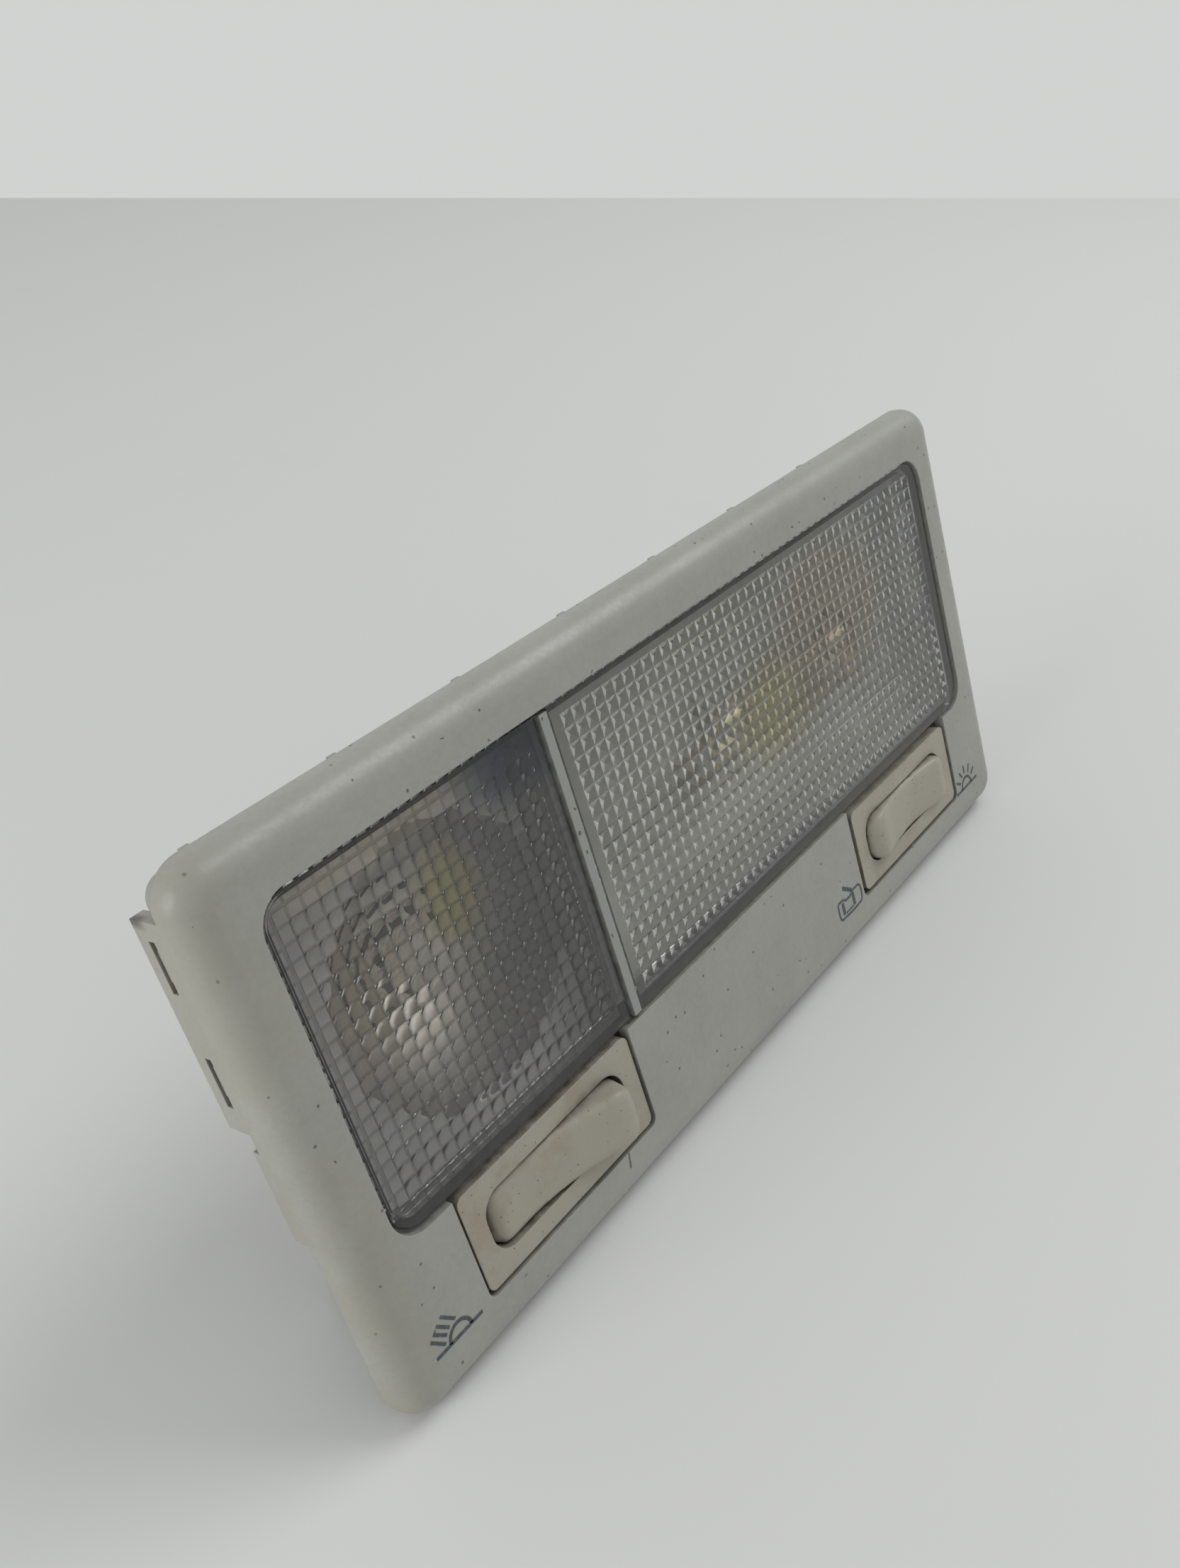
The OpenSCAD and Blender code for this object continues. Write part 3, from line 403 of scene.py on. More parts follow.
def metal(name, colour, roughness, tarnish=None, tarnish_share=0.5, edge_radius=0.15 * MM):
    """Bare or plated metal with streaks of tarnish."""
    finish, tree, shader = new_finish(name, Metallic=1.0)
    place = place_in_mm(tree)
    patches = ramp(tree, cloud(tree, place, 0.35, 5.0, 0.6), 0.42, 0.7, 0.0, tarnish_share)
    dull = rgba(tarnish) if tarnish else rgba(colour, 0.55)
    tree.links.new(tint(tree, patches, rgba(colour), dull), shader["Base Color"])
    fine = cloud(tree, place, 2.5, 4.0)
    tree.links.new(ramp(tree, fine, 0.3, 0.7, roughness - 0.05, roughness + 0.1), shader["Roughness"])
    relief(tree, shader, fine, 0.004 * MM, edge_radius)
    return finish


def dress(node, finish):
    """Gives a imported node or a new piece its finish."""
    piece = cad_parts[node] if isinstance(node, str) else node
    piece.data.materials.clear()
    piece.data.materials.append(finish)
    for face in piece.data.polygons:
        face.material_index = 0
    return piece


# Mesh helpers


def piece_from(name, shape, body, finish, replaces=()):
    """A new piece that rides on a body, from a bmesh in millimetres."""
    mesh = bpy.data.meshes.new(name)
    shape.transform(Matrix.Scale(MM, 4))
    shape.normal_update()
    shape.to_mesh(mesh)
    shape.free()
    piece = bpy.data.objects.new(name, mesh)
    bpy.context.scene.collection.objects.link(piece)
    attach(piece, body)
    if replaces:
        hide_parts(*replaces)
    dress(piece, finish)
    return piece


def smooth(piece, angle=35):
    """Shades a piece smooth, but for its edges that are sharper than the angle."""
    piece.data.shade_smooth()
    piece.data.set_sharp_from_angle(angle=math.radians(angle))
    return piece


def ring(shape, centre, side, other, radius, parts):
    """Adds the points of a circle that lies along side and other."""
    return [shape.verts.new(centre + (side * math.cos(a) + other * math.sin(a)) * radius)
            for a in (2 * math.pi * k / parts for k in range(parts))]


def skin(shape, rows, closed=False):
    """Adds the faces between rows of points; a closed row's last point joins its first."""
    for row, after in zip(rows, rows[1:]):
        for k in range(len(row) if closed else len(row) - 1):
            m = (k + 1) % len(row)
            shape.faces.new((row[k], row[m], after[m], after[k]))


def revolve(profile, origin, axis, parts=48):
    """A surface of revolution: profile holds (distance along the axis, radius) pairs."""
    smallest_radius = 1e-6
    shape = bmesh.new()
    along = Vector(axis).normalized()
    side = along.orthogonal().normalized()
    other = along.cross(side)
    rings = []
    for reach, radius in profile:
        centre = Vector(origin) + along * reach
        at_tip = radius < smallest_radius
        rings.append([shape.verts.new(centre)] if at_tip else ring(shape, centre, side, other, radius, parts))
    for before, after in zip(rings, rings[1:]):
        if len(before) == len(after):
            skin(shape, (before, after), closed=len(before) > 1)
            continue
        tip, whole = sorted((before, after), key=len)
        for k in range(parts):
            shape.faces.new((tip[0], whole[k - 1], whole[k]))
    bmesh.ops.recalc_face_normals(shape, faces=shape.faces)
    return shape


def tube_along(shape, points, radius, sides=8):
    """Adds a round wire through the points to a bmesh, closed at both ends."""
    points = [Vector(p) for p in points]
    side = None
    rings = []
    for k, point in enumerate(points):
        ahead = (points[min(k + 1, len(points) - 1)] - points[max(k - 1, 0)]).normalized()
        side = (side - ahead * side.dot(ahead)).normalized() if side else ahead.orthogonal().normalized()
        rings.append(ring(shape, point, side, ahead.cross(side), radius, sides))
    skin(shape, rings, closed=True)
    shape.faces.new(rings[0][::-1])
    shape.faces.new(rings[-1])


# Operators


class DOME_OT_stage(bpy.types.Operator):
    """Sets up the floor, the soft lamps, the even room light and the camera"""

    bl_idname = "dome.stage"
    bl_label = "Stage"

    # The camera's right, its up and the way back from what it sees.
    RIGHT = Vector((0.6095, -0.7425, -0.2779))
    UP = Vector((0.4675, 0.0537, 0.8823))
    BACK = Vector((-0.6402, -0.6677, 0.3798))

    # The camera's nearest and farthest sight, in metres, and the width of its frame.
    NEAREST = 0.005
    FARTHEST = 30
    FRAME_WIDTH = 36

    # The floor, in metres, and its scuffs.
    HALF_WIDTH = 4.0
    BEHIND_CAMERA = 1.0
    FLOOR_PARTS = 24
    SCUFF_STRENGTH = 0.82
    SCUFF_SHARE = 0.1

    # Each soft lamp's place to the right, up from the floor and towards the camera, and its width,
    # all in metres.
    CEILING_LIGHT = ((0.5, 0.8, -0.35), 0.6)
    WINDOW_LIGHT = ((-0.5, 0.16, 0.45), 0.35)

    def execute(self, context):
        stage = context.scene.dome_stage
        self.floor(context, stage)
        self.room(context, stage)
        self.lamp(context, stage, "ceiling light", *self.CEILING_LIGHT, stage.key_power)
        self.lamp(context, stage, "window light", *self.WINDOW_LIGHT, stage.fill_power)
        self.camera(context, stage)
        context.scene.view_settings.view_transform = "Standard"
        return {"FINISHED"}

    def level(self, stage):
        """The floor's upright, and the way along the floor towards the camera."""
        upright = Matrix.Rotation(stage.lean, 3, "X") @ Vector((0, 0, 1))
        return upright, (self.BACK - upright * self.BACK.dot(upright)).normalized()

    def floor(self, context, stage):
        """A tilted sheet that the lamp stands on, from behind the camera to its far edge."""
        upright, towards = self.level(stage)
        lowest = min((node.matrix_world @ vertex.co).dot(upright)
                     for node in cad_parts.values() for vertex in node.data.vertices)
        height = Vector(stage.camera_place).dot(upright) - lowest
        length = height / math.tan(stage.far_edge_angle) + self.BEHIND_CAMERA
        under_camera = Vector(stage.camera_place) - upright * height
        parts = self.FLOOR_PARTS
        shape = bmesh.new()
        rows = []
        for j in range(parts + 1):
            middle = under_camera - towards * (length * j / parts - self.BEHIND_CAMERA)
            rows.append([shape.verts.new(middle + self.RIGHT * self.HALF_WIDTH * (2 * i / parts - 1))
                         for i in range(parts + 1)])
        skin(shape, rows)
        mesh = bpy.data.meshes.new("floor")
        shape.to_mesh(mesh)
        shape.free()
        floor = bpy.data.objects.new("floor", mesh)
        context.scene.collection.objects.link(floor)

        finish, tree, shader = new_finish("pale floor", Roughness=0.55)
        place = node_in(tree, "ShaderNodeTexCoord").outputs["Object"]
        scuffs = ramp(tree, cloud(tree, place, 14.0, 6.0, 0.7), 0.58, 0.74, 0.0, self.SCUFF_SHARE)
        scuffed = rgba(stage.floor, self.SCUFF_STRENGTH)
        tree.links.new(tint(tree, scuffs, rgba(stage.floor), scuffed), shader["Base Color"])
        mesh.materials.append(finish)

    def room(self, context, stage):
        """Even light from all round; the camera, gloss and glass see the backdrop in its place."""
        world = bpy.data.worlds.new("room")
        context.scene.world = world
        world.use_nodes = True
        sky = world.node_tree
        path = node_in(sky, "ShaderNodeLightPath").outputs
        seen = path["Is Camera Ray"]
        for kind in ("Is Glossy Ray", "Is Transmission Ray"):
            seen = calculate(sky, "MAXIMUM", seen, path[kind])
        even = sky.nodes["Background"]
        even.inputs["Color"].default_value = (1, 1, 1, 1)
        even.inputs["Strength"].default_value = stage.sky_level
        backdrop = node_in(sky, "ShaderNodeBackground", {"Color": rgba(stage.backdrop), "Strength": 1.0})
        both = blend(sky, seen, even.outputs[0], backdrop.outputs[0])
        sky.links.new(both, sky.nodes["World Output"].inputs["Surface"])

    def lamp(self, context, stage, name, place, size, power):
        """A soft round lamp that points at the dome light."""
        upright, towards = self.level(stage)
        right, up, ahead = place
        data = bpy.data.lights.new(name, "AREA")
        data.shape = "DISK"
        data.size = size
        data.energy = power
        lamp = bpy.data.objects.new(name, data)
        lamp.location = self.RIGHT * right + upright * up + towards * ahead
        lamp.rotation_mode = "QUATERNION"
        lamp.rotation_quaternion = (-lamp.location).to_track_quat("-Z", "Y")
        context.scene.collection.objects.link(lamp)

    def camera(self, context, stage):
        """The photo's viewpoint."""
        data = bpy.data.cameras.new("camera")
        data.lens = stage.focal_length
        data.sensor_width = self.FRAME_WIDTH
        data.clip_start, data.clip_end = self.NEAREST, self.FARTHEST
        camera = bpy.data.objects.new("camera", data)
        turn = Matrix((self.RIGHT, self.UP, self.BACK)).transposed().to_4x4()
        camera.matrix_world = Matrix.Translation(stage.camera_place) @ turn
        context.scene.collection.objects.link(camera)
        context.scene.camera = camera


class DOME_OT_bezel(bpy.types.Operator):
    """Gives the bezel its satin grey plastic, yellowed at one end, with marks and dirt"""

    bl_idname = "dome.bezel"
    bl_label = "Bezel"

    # Each mark's start, end and width, from the window's top left corner, and how dark they are.
    MARKS = (((37.1, -63.4), (36.7, -65.4), 0.32), ((98.0, 1.7), (98.2, 1.6), 0.2),
             ((109.0, 1.6), (109.3, 1.5), 0.26), ((122.0, 0.7), (122.2, 0.8), 0.18),
             ((57.5, 0.3), (57.9, 0.5), 0.2), ((30.6, 4.1), (31.0, 4.0), 0.16),
             ((14.2, -64.5), (14.5, -64.4), 0.16), ((61.0, -66.2), (61.3, -66.0), 0.18),
             ((84.0, -62.3), (84.2, -62.5), 0.2), ((73.5, -69.3), (77.0, -69.9), 0.07),
             ((-3.1, -31.0), (-3.0, -31.3), 0.18), ((-4.4, -48.5), (-4.2, -48.6), 0.16))
    MARK_SHARE = 0.85

    # Where the yellowing starts and is full, along X.
    AGED_FROM = -72.0
    AGED_TO = -81.0

    # The dirty corner of the lug at the left end.
    LUG_LEFT = -82.5
    LUG_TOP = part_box("reading_lens")[1].z / MM + 2.4
    LUG_BACK = -0.2
    LUG_DIRT = 0.8

    def execute(self, context):
        colours = context.scene.dome_finish
        finish, tree, shader, body = plastic(
            "bezel plastic", colours.bezel, colours.dirt, roughness=0.38, grain_per_mm=1.3, tone=0.22,
            dirt=0.5, specks=0.35, specks_per_mm=0.5)
        place = axes_in_mm(tree)
        left = ramp(tree, place["X"], self.AGED_FROM, self.AGED_TO)
        patches = ramp(tree, cloud(tree, place_in_mm(tree), 0.07, 4.0), 0.38, 0.62, 0.1, 0.5)
        body = tint(tree, product(tree, left, patches), body, rgba(colours.bezel_aged))
        body = marked(tree, body, self.MARKS, colours.dirt, self.MARK_SHARE)
        corner = product(tree, ramp(tree, place["Z"], self.LUG_TOP - 1.6, self.LUG_TOP - 0.3),
                         ramp(tree, place["X"], self.LUG_LEFT + 1.0, self.LUG_LEFT),
                         ramp(tree, place["Y"], self.LUG_BACK - 3.2, self.LUG_BACK - 1.2))
        body = tint(tree, product(tree, corner, self.LUG_DIRT), body, rgba(colours.dirt))
        tree.links.new(body, shader["Base Color"])
        dress("bezel", finish)
        return {"FINISHED"}


class DOME_OT_base(bpy.types.Operator):
    """Gives the lamp base, the bulb holder and the connector their plastics"""

    bl_idname = "dome.base"
    bl_label = "Lamp base"

    # Each mark's start, end and width on the light divider, from the window's top left corner.
    DIVIDER_MARKS = (((47.4, -14.3), (47.5, -14.6), 0.2), ((47.2, -20.6), (47.2, -20.9), 0.24),
                     ((46.9, -33.4), (46.9, -33.9), 0.16))
    BLACK = (0.03, 0.03, 0.032)
    IVORY = (0.62, 0.58, 0.46)

    def execute(self, context):
        colours = context.scene.dome_finish
        base, tree, shader, body = plastic("base plastic", colours.base, colours.dirt, dirt=0.7)
        tree.links.new(marked(tree, body, self.DIVIDER_MARKS, colours.dirt), shader["Base Color"])
        dress("lamp_base", base)
        dress("reading_bulb_holder", plastic("black plastic", self.BLACK, colours.dirt, roughness=0.45)[0])
        dress("connector_shell", plastic("ivory plastic", self.IVORY, colours.dirt, roughness=0.35)[0])
        return {"FINISHED"}


class DOME_OT_lenses(bpy.types.Operator):
    """Makes the prismatic lenses of clear, slightly smoky plastic"""

    bl_idname = "dome.lenses"
    bl_label = "Lenses"

    # Painted light and shade in the lenses' tint: bright painted highlights, yellow and warm painted
    # reflections of the bulbs, and bluish painted shade. Each patch's middle and reach are shares of the
    # lens's box, from its lower left, and then its colour.
    ROOM_PAINTED_LIGHT = (((0.28, 0.62), (0.25, 0.4), (1.0, 1.0, 0.98)),
                    ((0.47, 0.53), (0.15, 0.2), (0.93, 0.85, 0.52)),
                    ((0.66, 0.66), (0.2, 0.3), (0.80, 0.68, 0.56)),
                    ((1.0, 0.55), (0.05, 0.3), (0.45, 0.48, 0.60)))
    READING_PAINTED_LIGHT = (((0.34, 0.58), (0.24, 0.28), (1.0, 0.98, 0.95)),
                       ((0.42, 0.955), (0.5, 0.06), (1.0, 0.97, 0.92)),
                       ((0.54, 0.72), (0.13, 0.16), (0.92, 0.87, 0.55)),
                       ((0.93, 0.93), (0.22, 0.14), (0.30, 0.33, 0.45)))

    # The roughness of the lenses where clean and where dull, and the share of their dusty film.
    ROOM_ROUGHNESS = (0.06, 0.17)
    ROOM_FILM = 0.12
    READING_ROUGHNESS = (0.01, 0.05)
    READING_FILM = 0.08
    GRIME = (0.30, 0.30, 0.27)
    HAZE_STRENGTH = 0.93
    SHADOW_STRENGTH = 0.8

    # The dark joints between pillows; their half width and core are shares of a pillow.
    JOINT = (0.12, 0.12, 0.13)
    JOINT_SHARE = 0.65
    JOINT_HALF_WIDTH = 0.17
    JOINT_CORE = 0.05
    JOINT_DEPTH = 0.2

    # The reading lens's shell: its corners, and the rounding of its front edge.
    ROUND_CORNER = 4.1
    SQUARE_CORNER = 0.3
    LEAST_CORNER = 0.05
    CORNER_PARTS = 8
    EDGE_RADIUS = 0.4
    EDGE_MIDDLE = 0.12
    SHARP_ANGLE = 16

    # The raised field of pillows, from the lens's sides, and the row of lower pillows round it.
    FIELD = {"left": 4.1, "right": 1.7, "top": 4.3, "bottom": 3.1}
    FIELD_BORDER = {"left": 1.9, "top": 1.9, "bottom": 1.1}
    FIELD_STEP = 0.7
    FIELD_PLINTH = 0.1
    BORDER_RISE = 0.5
    STEP_SLOPE = 0.1
    PARTS_PER_PILLOW = 6

    def execute(self, context):
        colours = context.scene.dome_finish
        # Both lenses' tints carry painted light and shade patches.
        dress("main_lens", self.clear("room lens", "main_lens", colours.lens, self.ROOM_ROUGHNESS,
                                      self.ROOM_FILM, self.ROOM_PAINTED_LIGHT))
        smoky = self.clear("reading lens", "reading_lens", colours.reading_lens, self.READING_ROUGHNESS,
                           self.READING_FILM, self.READING_PAINTED_LIGHT)
        self.dark_joints(smoky, context.scene.dome_shape)
        self.reading_lens(smoky, context.scene.dome_shape)
        return {"FINISHED"}

    def reading_lens(self, finish, sizes):
        """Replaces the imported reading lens: the same shell, with pillows in place of prisms."""
        low, high = (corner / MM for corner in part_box("reading_lens"))
        skirt = sizes.lens_skirt / MM
        inside = low.y + sizes.lens_wall / MM
        edge, middle = self.EDGE_RADIUS, self.EDGE_MIDDLE
        lens = bmesh.new()
        loops = [[lens.verts.new((x, depth, z)) for x, z in self.outline(low, high, inset)]
                 for inset, depth in ((edge, low.y), (middle, low.y + middle), (0, low.y + edge),
                                      (0, high.y), (skirt, high.y), (skirt, inside))]
        lens.faces.new(loops[0])
        skin(lens, loops, closed=True)
        foot = self.pillows(lens, low, high, inside, sizes)
        ceiling = [lens.edges.get((loop[k], loop[(k + 1) % len(loop)]))
                   for loop in (loops[-1], foot) for k in range(len(loop))]
        bmesh.ops.triangle_fill(lens, edges=ceiling, use_beauty=True, use_dissolve=False)
        bmesh.ops.recalc_face_normals(lens, faces=lens.faces)
        smooth(piece_from("reading_lens_pillowed", lens, "lamp", finish, ["reading_lens"]),
               self.SHARP_ANGLE)

    def field(self, low, high):
        """Where the raised pillows start and end, along X and along Z."""
        return ((low.x + self.FIELD["left"], high.x - self.FIELD["right"]),
                (low.z + self.FIELD["bottom"], high.z - self.FIELD["top"]))

    def dark_joints(self, finish, sizes):
        """Darkens the joints between the pillows, where light is bent away from the eye."""
        tree = finish.node_tree
        colour = tree.nodes["Principled BSDF"].inputs["Base Color"]
        low, high = (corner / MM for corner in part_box("reading_lens"))
        place = axes_in_mm(tree)
        near = []
        for axis, (start, end) in zip("XZ", self.field(low, high)):
            pitch = (end - start) / round((end - start) * MM / sizes.pillow_pitch)
            share = calculate(tree, "DIVIDE", calculate(tree, "SUBTRACT", place[axis], start), pitch)
            near.append(calculate(tree, "PINGPONG", share, 0.5))
        joint = ramp(tree, calculate(tree, "MINIMUM", *near), self.JOINT_HALF_WIDTH, self.JOINT_CORE)
        inside = low.y + sizes.lens_wall / MM - self.JOINT_DEPTH
        behind = calculate(tree, "GREATER_THAN", place["Y"], inside)
        mask = product(tree, joint, behind, self.JOINT_SHARE)
        tree.links.new(tint(tree, mask, colour.links[0].from_socket, rgba(self.JOINT)), colour)

    def outline(self, low, high, inset):
        """Corners are round beside the window and square beside the divider."""
        corners = ((high.x, high.z, self.SQUARE_CORNER), (low.x, high.z, self.ROUND_CORNER),
                   (low.x, low.z, self.ROUND_CORNER), (high.x, low.z, self.SQUARE_CORNER))
        points = []
        for quarter, (x, z, radius) in enumerate(corners):
            r = max(radius - inset, self.LEAST_CORNER)
            middle_x = x - math.copysign(inset + r, x - (low.x + high.x) / 2)
            middle_z = z - math.copysign(inset + r, z - (low.z + high.z) / 2)
            for k in range(self.CORNER_PARTS + 1):
                a = math.radians(90 * (quarter + k / self.CORNER_PARTS))
                points.append((middle_x + r * math.cos(a), middle_z + r * math.sin(a)))
        return points

    def steps_of(self, start, end, pitch, before, after):
        """Places along one side of the pillows, as (place, share of a pillow from -1 to 1, raised)."""
        parts = self.PARTS_PER_PILLOW
        spans = [(start - before, start - self.STEP_SLOPE, 1, False)] if before else []
        spans.append((start, end, round((end - start) / pitch), True))
        if after:
            spans.append((end + self.STEP_SLOPE, end + after, 1, False))
        steps = []
        for a, b, count, raised in spans:
            for n in range(count):
                last = n == count - 1
                steps += [(a + (b - a) * (n + k / parts) / count, 2 * k / parts - 1, raised)
                          for k in range(parts + last)]
        return steps

    def pillows(self, lens, low, high, inside, sizes):
        """Pillows on the inner face, raised but for the row round them; gives back their foot."""
        pitch, rise = sizes.pillow_pitch / MM, sizes.pillow_rise / MM
        border = self.FIELD_BORDER
        across, up = self.field(low, high)
        columns = self.steps_of(*across, pitch, border["left"], 0)
        rows = self.steps_of(*up, pitch, border["bottom"], border["top"])
        grid = []
        for z, v, raised_row in rows:
            row = []
            for x, u, raised_column in columns:
                raised = raised_row and raised_column
                level = self.FIELD_STEP if raised else self.FIELD_PLINTH
                crown = rise * (1.0 if raised else self.BORDER_RISE) * ((1 - u * u) + (1 - v * v))
                row.append(lens.verts.new((x, inside + level + crown, z)))
            grid.append(row)
        skin(lens, grid)
        right_side = [row[-1] for row in grid[:-1]]
        left_side = [row[0] for row in grid[:0:-1]]
        edge = grid[0][:-1] + right_side + grid[-1][:0:-1] + left_side
        foot = [lens.verts.new((v.co.x, inside, v.co.z)) for v in edge]
        skin(lens, (edge, foot), closed=True)
        return foot

    def clear(self, name, lens, colour, roughness, film, patches):
        """Glass-like plastic that lets shadow rays through, so that the lamp's inside is lit."""
        finish, tree, shader = new_finish(name, Transmission_Weight=1.0, IOR=1.49, Metallic=0.0)
        place = place_in_mm(tree)
        dust = ramp(tree, cloud(tree, place, 0.25, 5.0, 0.65), 0.4, 0.75, *roughness)
        tree.links.new(dust, shader["Roughness"])
        haze = ramp(tree, cloud(tree, place, 0.08, 3.0), 0.35, 0.7)
        body = tint(tree, haze, rgba(colour), rgba(colour, self.HAZE_STRENGTH))
        # The patches paint light, shade and reflections into the lens's tint.
        for middle, reach, painted_tint in patches:
            body = tint(tree, self.patch(tree, place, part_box(lens), middle, reach), body, rgba(painted_tint))
        tree.links.new(body, shader["Base Color"])
        through = node_in(tree, "ShaderNodeBsdfTransparent", {"Color": rgba(colour, self.SHADOW_STRENGTH)})
        path = node_in(tree, "ShaderNodeLightPath").outputs
        unbent = calculate(tree, "MAXIMUM", path["Is Shadow Ray"], path["Is Diffuse Ray"])
        clean = blend(tree, unbent, tree.nodes["Principled BSDF"].outputs[0], through.outputs[0])
        grime = node_in(tree, "ShaderNodeBsdfDiffuse", {"Color": rgba(self.GRIME)})
        film_share = ramp(tree, cloud(tree, place, 0.5, 5.0, 0.7), 0.3, 0.7, 0.7 * film, 1.3 * film)
        marks = use(tree, dark_specks(), Share=0.3, Specks_per_mm=0.22, Size=0.07)["Specks"]
        covered = blend(tree, calculate(tree, "MAXIMUM", film_share, marks), clean, grime.outputs[0])
        tree.links.new(covered, tree.nodes["Material Output"].inputs["Surface"])
        return finish

    def patch(self, tree, place, box, middle, reach):
        """A soft oval mask; its middle and reach are shares of the box, from its lower left."""
        low, size = box[0] / MM, (box[1] - box[0]) / MM
        centre = (low.x + size.x * middle[0], 0, low.z + size.z * middle[1])
        stretch = (1 / (size.x * reach[0]), 0, 1 / (size.z * reach[1]))
        away = on_vector(tree, "SUBTRACT", {0: place, 1: centre})[0]
        oval = on_vector(tree, "MULTIPLY", {0: away, 1: stretch})[0]
        return ramp(tree, on_vector(tree, "LENGTH", {0: oval})["Value"], 1.1, 0.4)


class DOME_OT_reflectors(bpy.types.Operator):
    """Finishes the bright reading bowl and the pale room trough"""

    bl_idname = "dome.reflectors"
    bl_label = "Reflectors"

    BRIGHT = (0.86, 0.80, 0.73)
    PALE = (0.64, 0.63, 0.59)

    # Painted shade on the bowl: its colour, and its share towards the divider and on the flat rim.
    PAINTED_SHADE = (0.045, 0.045, 0.055)
    PAINTED_SHADE_RIGHT = 0.75
    PAINTED_SHADE_RIM = 0.42

    # How far the bowl's shading leans towards +Z, as if its beam were aimed up.
    AIM = (0.0, 0.0, 0.36)

    def execute(self, context):
        dirt = context.scene.dome_finish.dirt
        bright = metal("bright reflector", self.BRIGHT, roughness=0.4, tarnish_share=0.35)
        # Painted shade on the bowl, darker towards the divider and on its rim.
        self.paint_shade(bright)
        self.aim(bright)
        dress("reading_reflector", bright)
        dress("main_reflector", plastic("white reflector", self.PALE, dirt, roughness=0.3, dirt=0.4)[0])
        return {"FINISHED"}

    def paint_shade(self, finish):
        """Paints shade on the reading bowl, darker towards the divider and on its flat rim."""
        tree = finish.node_tree
        colour = tree.nodes["Principled BSDF"].inputs["Base Color"]
        low, high = (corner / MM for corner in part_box("reading_reflector"))
        place = axes_in_mm(tree)
        right = ramp(tree, place["X"], low.x + 0.4 * (high.x - low.x), high.x - 4)
        rim = ramp(tree, place["Y"], low.y + 2.5, low.y + 0.9)
        # This mask is painted shade.
        shade = calculate(tree, "MAXIMUM", product(tree, right, self.PAINTED_SHADE_RIGHT),
                          product(tree, rim, self.PAINTED_SHADE_RIM))
        tree.links.new(tint(tree, shade, colour.links[0].from_socket, rgba(self.PAINTED_SHADE)), colour)

    def aim(self, finish):
        """Leans the bowl's normals, and leaves its shape as it is."""
        tree = finish.node_tree
        normal = tree.nodes["Principled BSDF"].inputs["Normal"]
        leant = on_vector(tree, "ADD", {0: normal.links[0].from_socket, 1: self.AIM})[0]
        tree.links.new(on_vector(tree, "NORMALIZE", {0: leant})[0], normal)


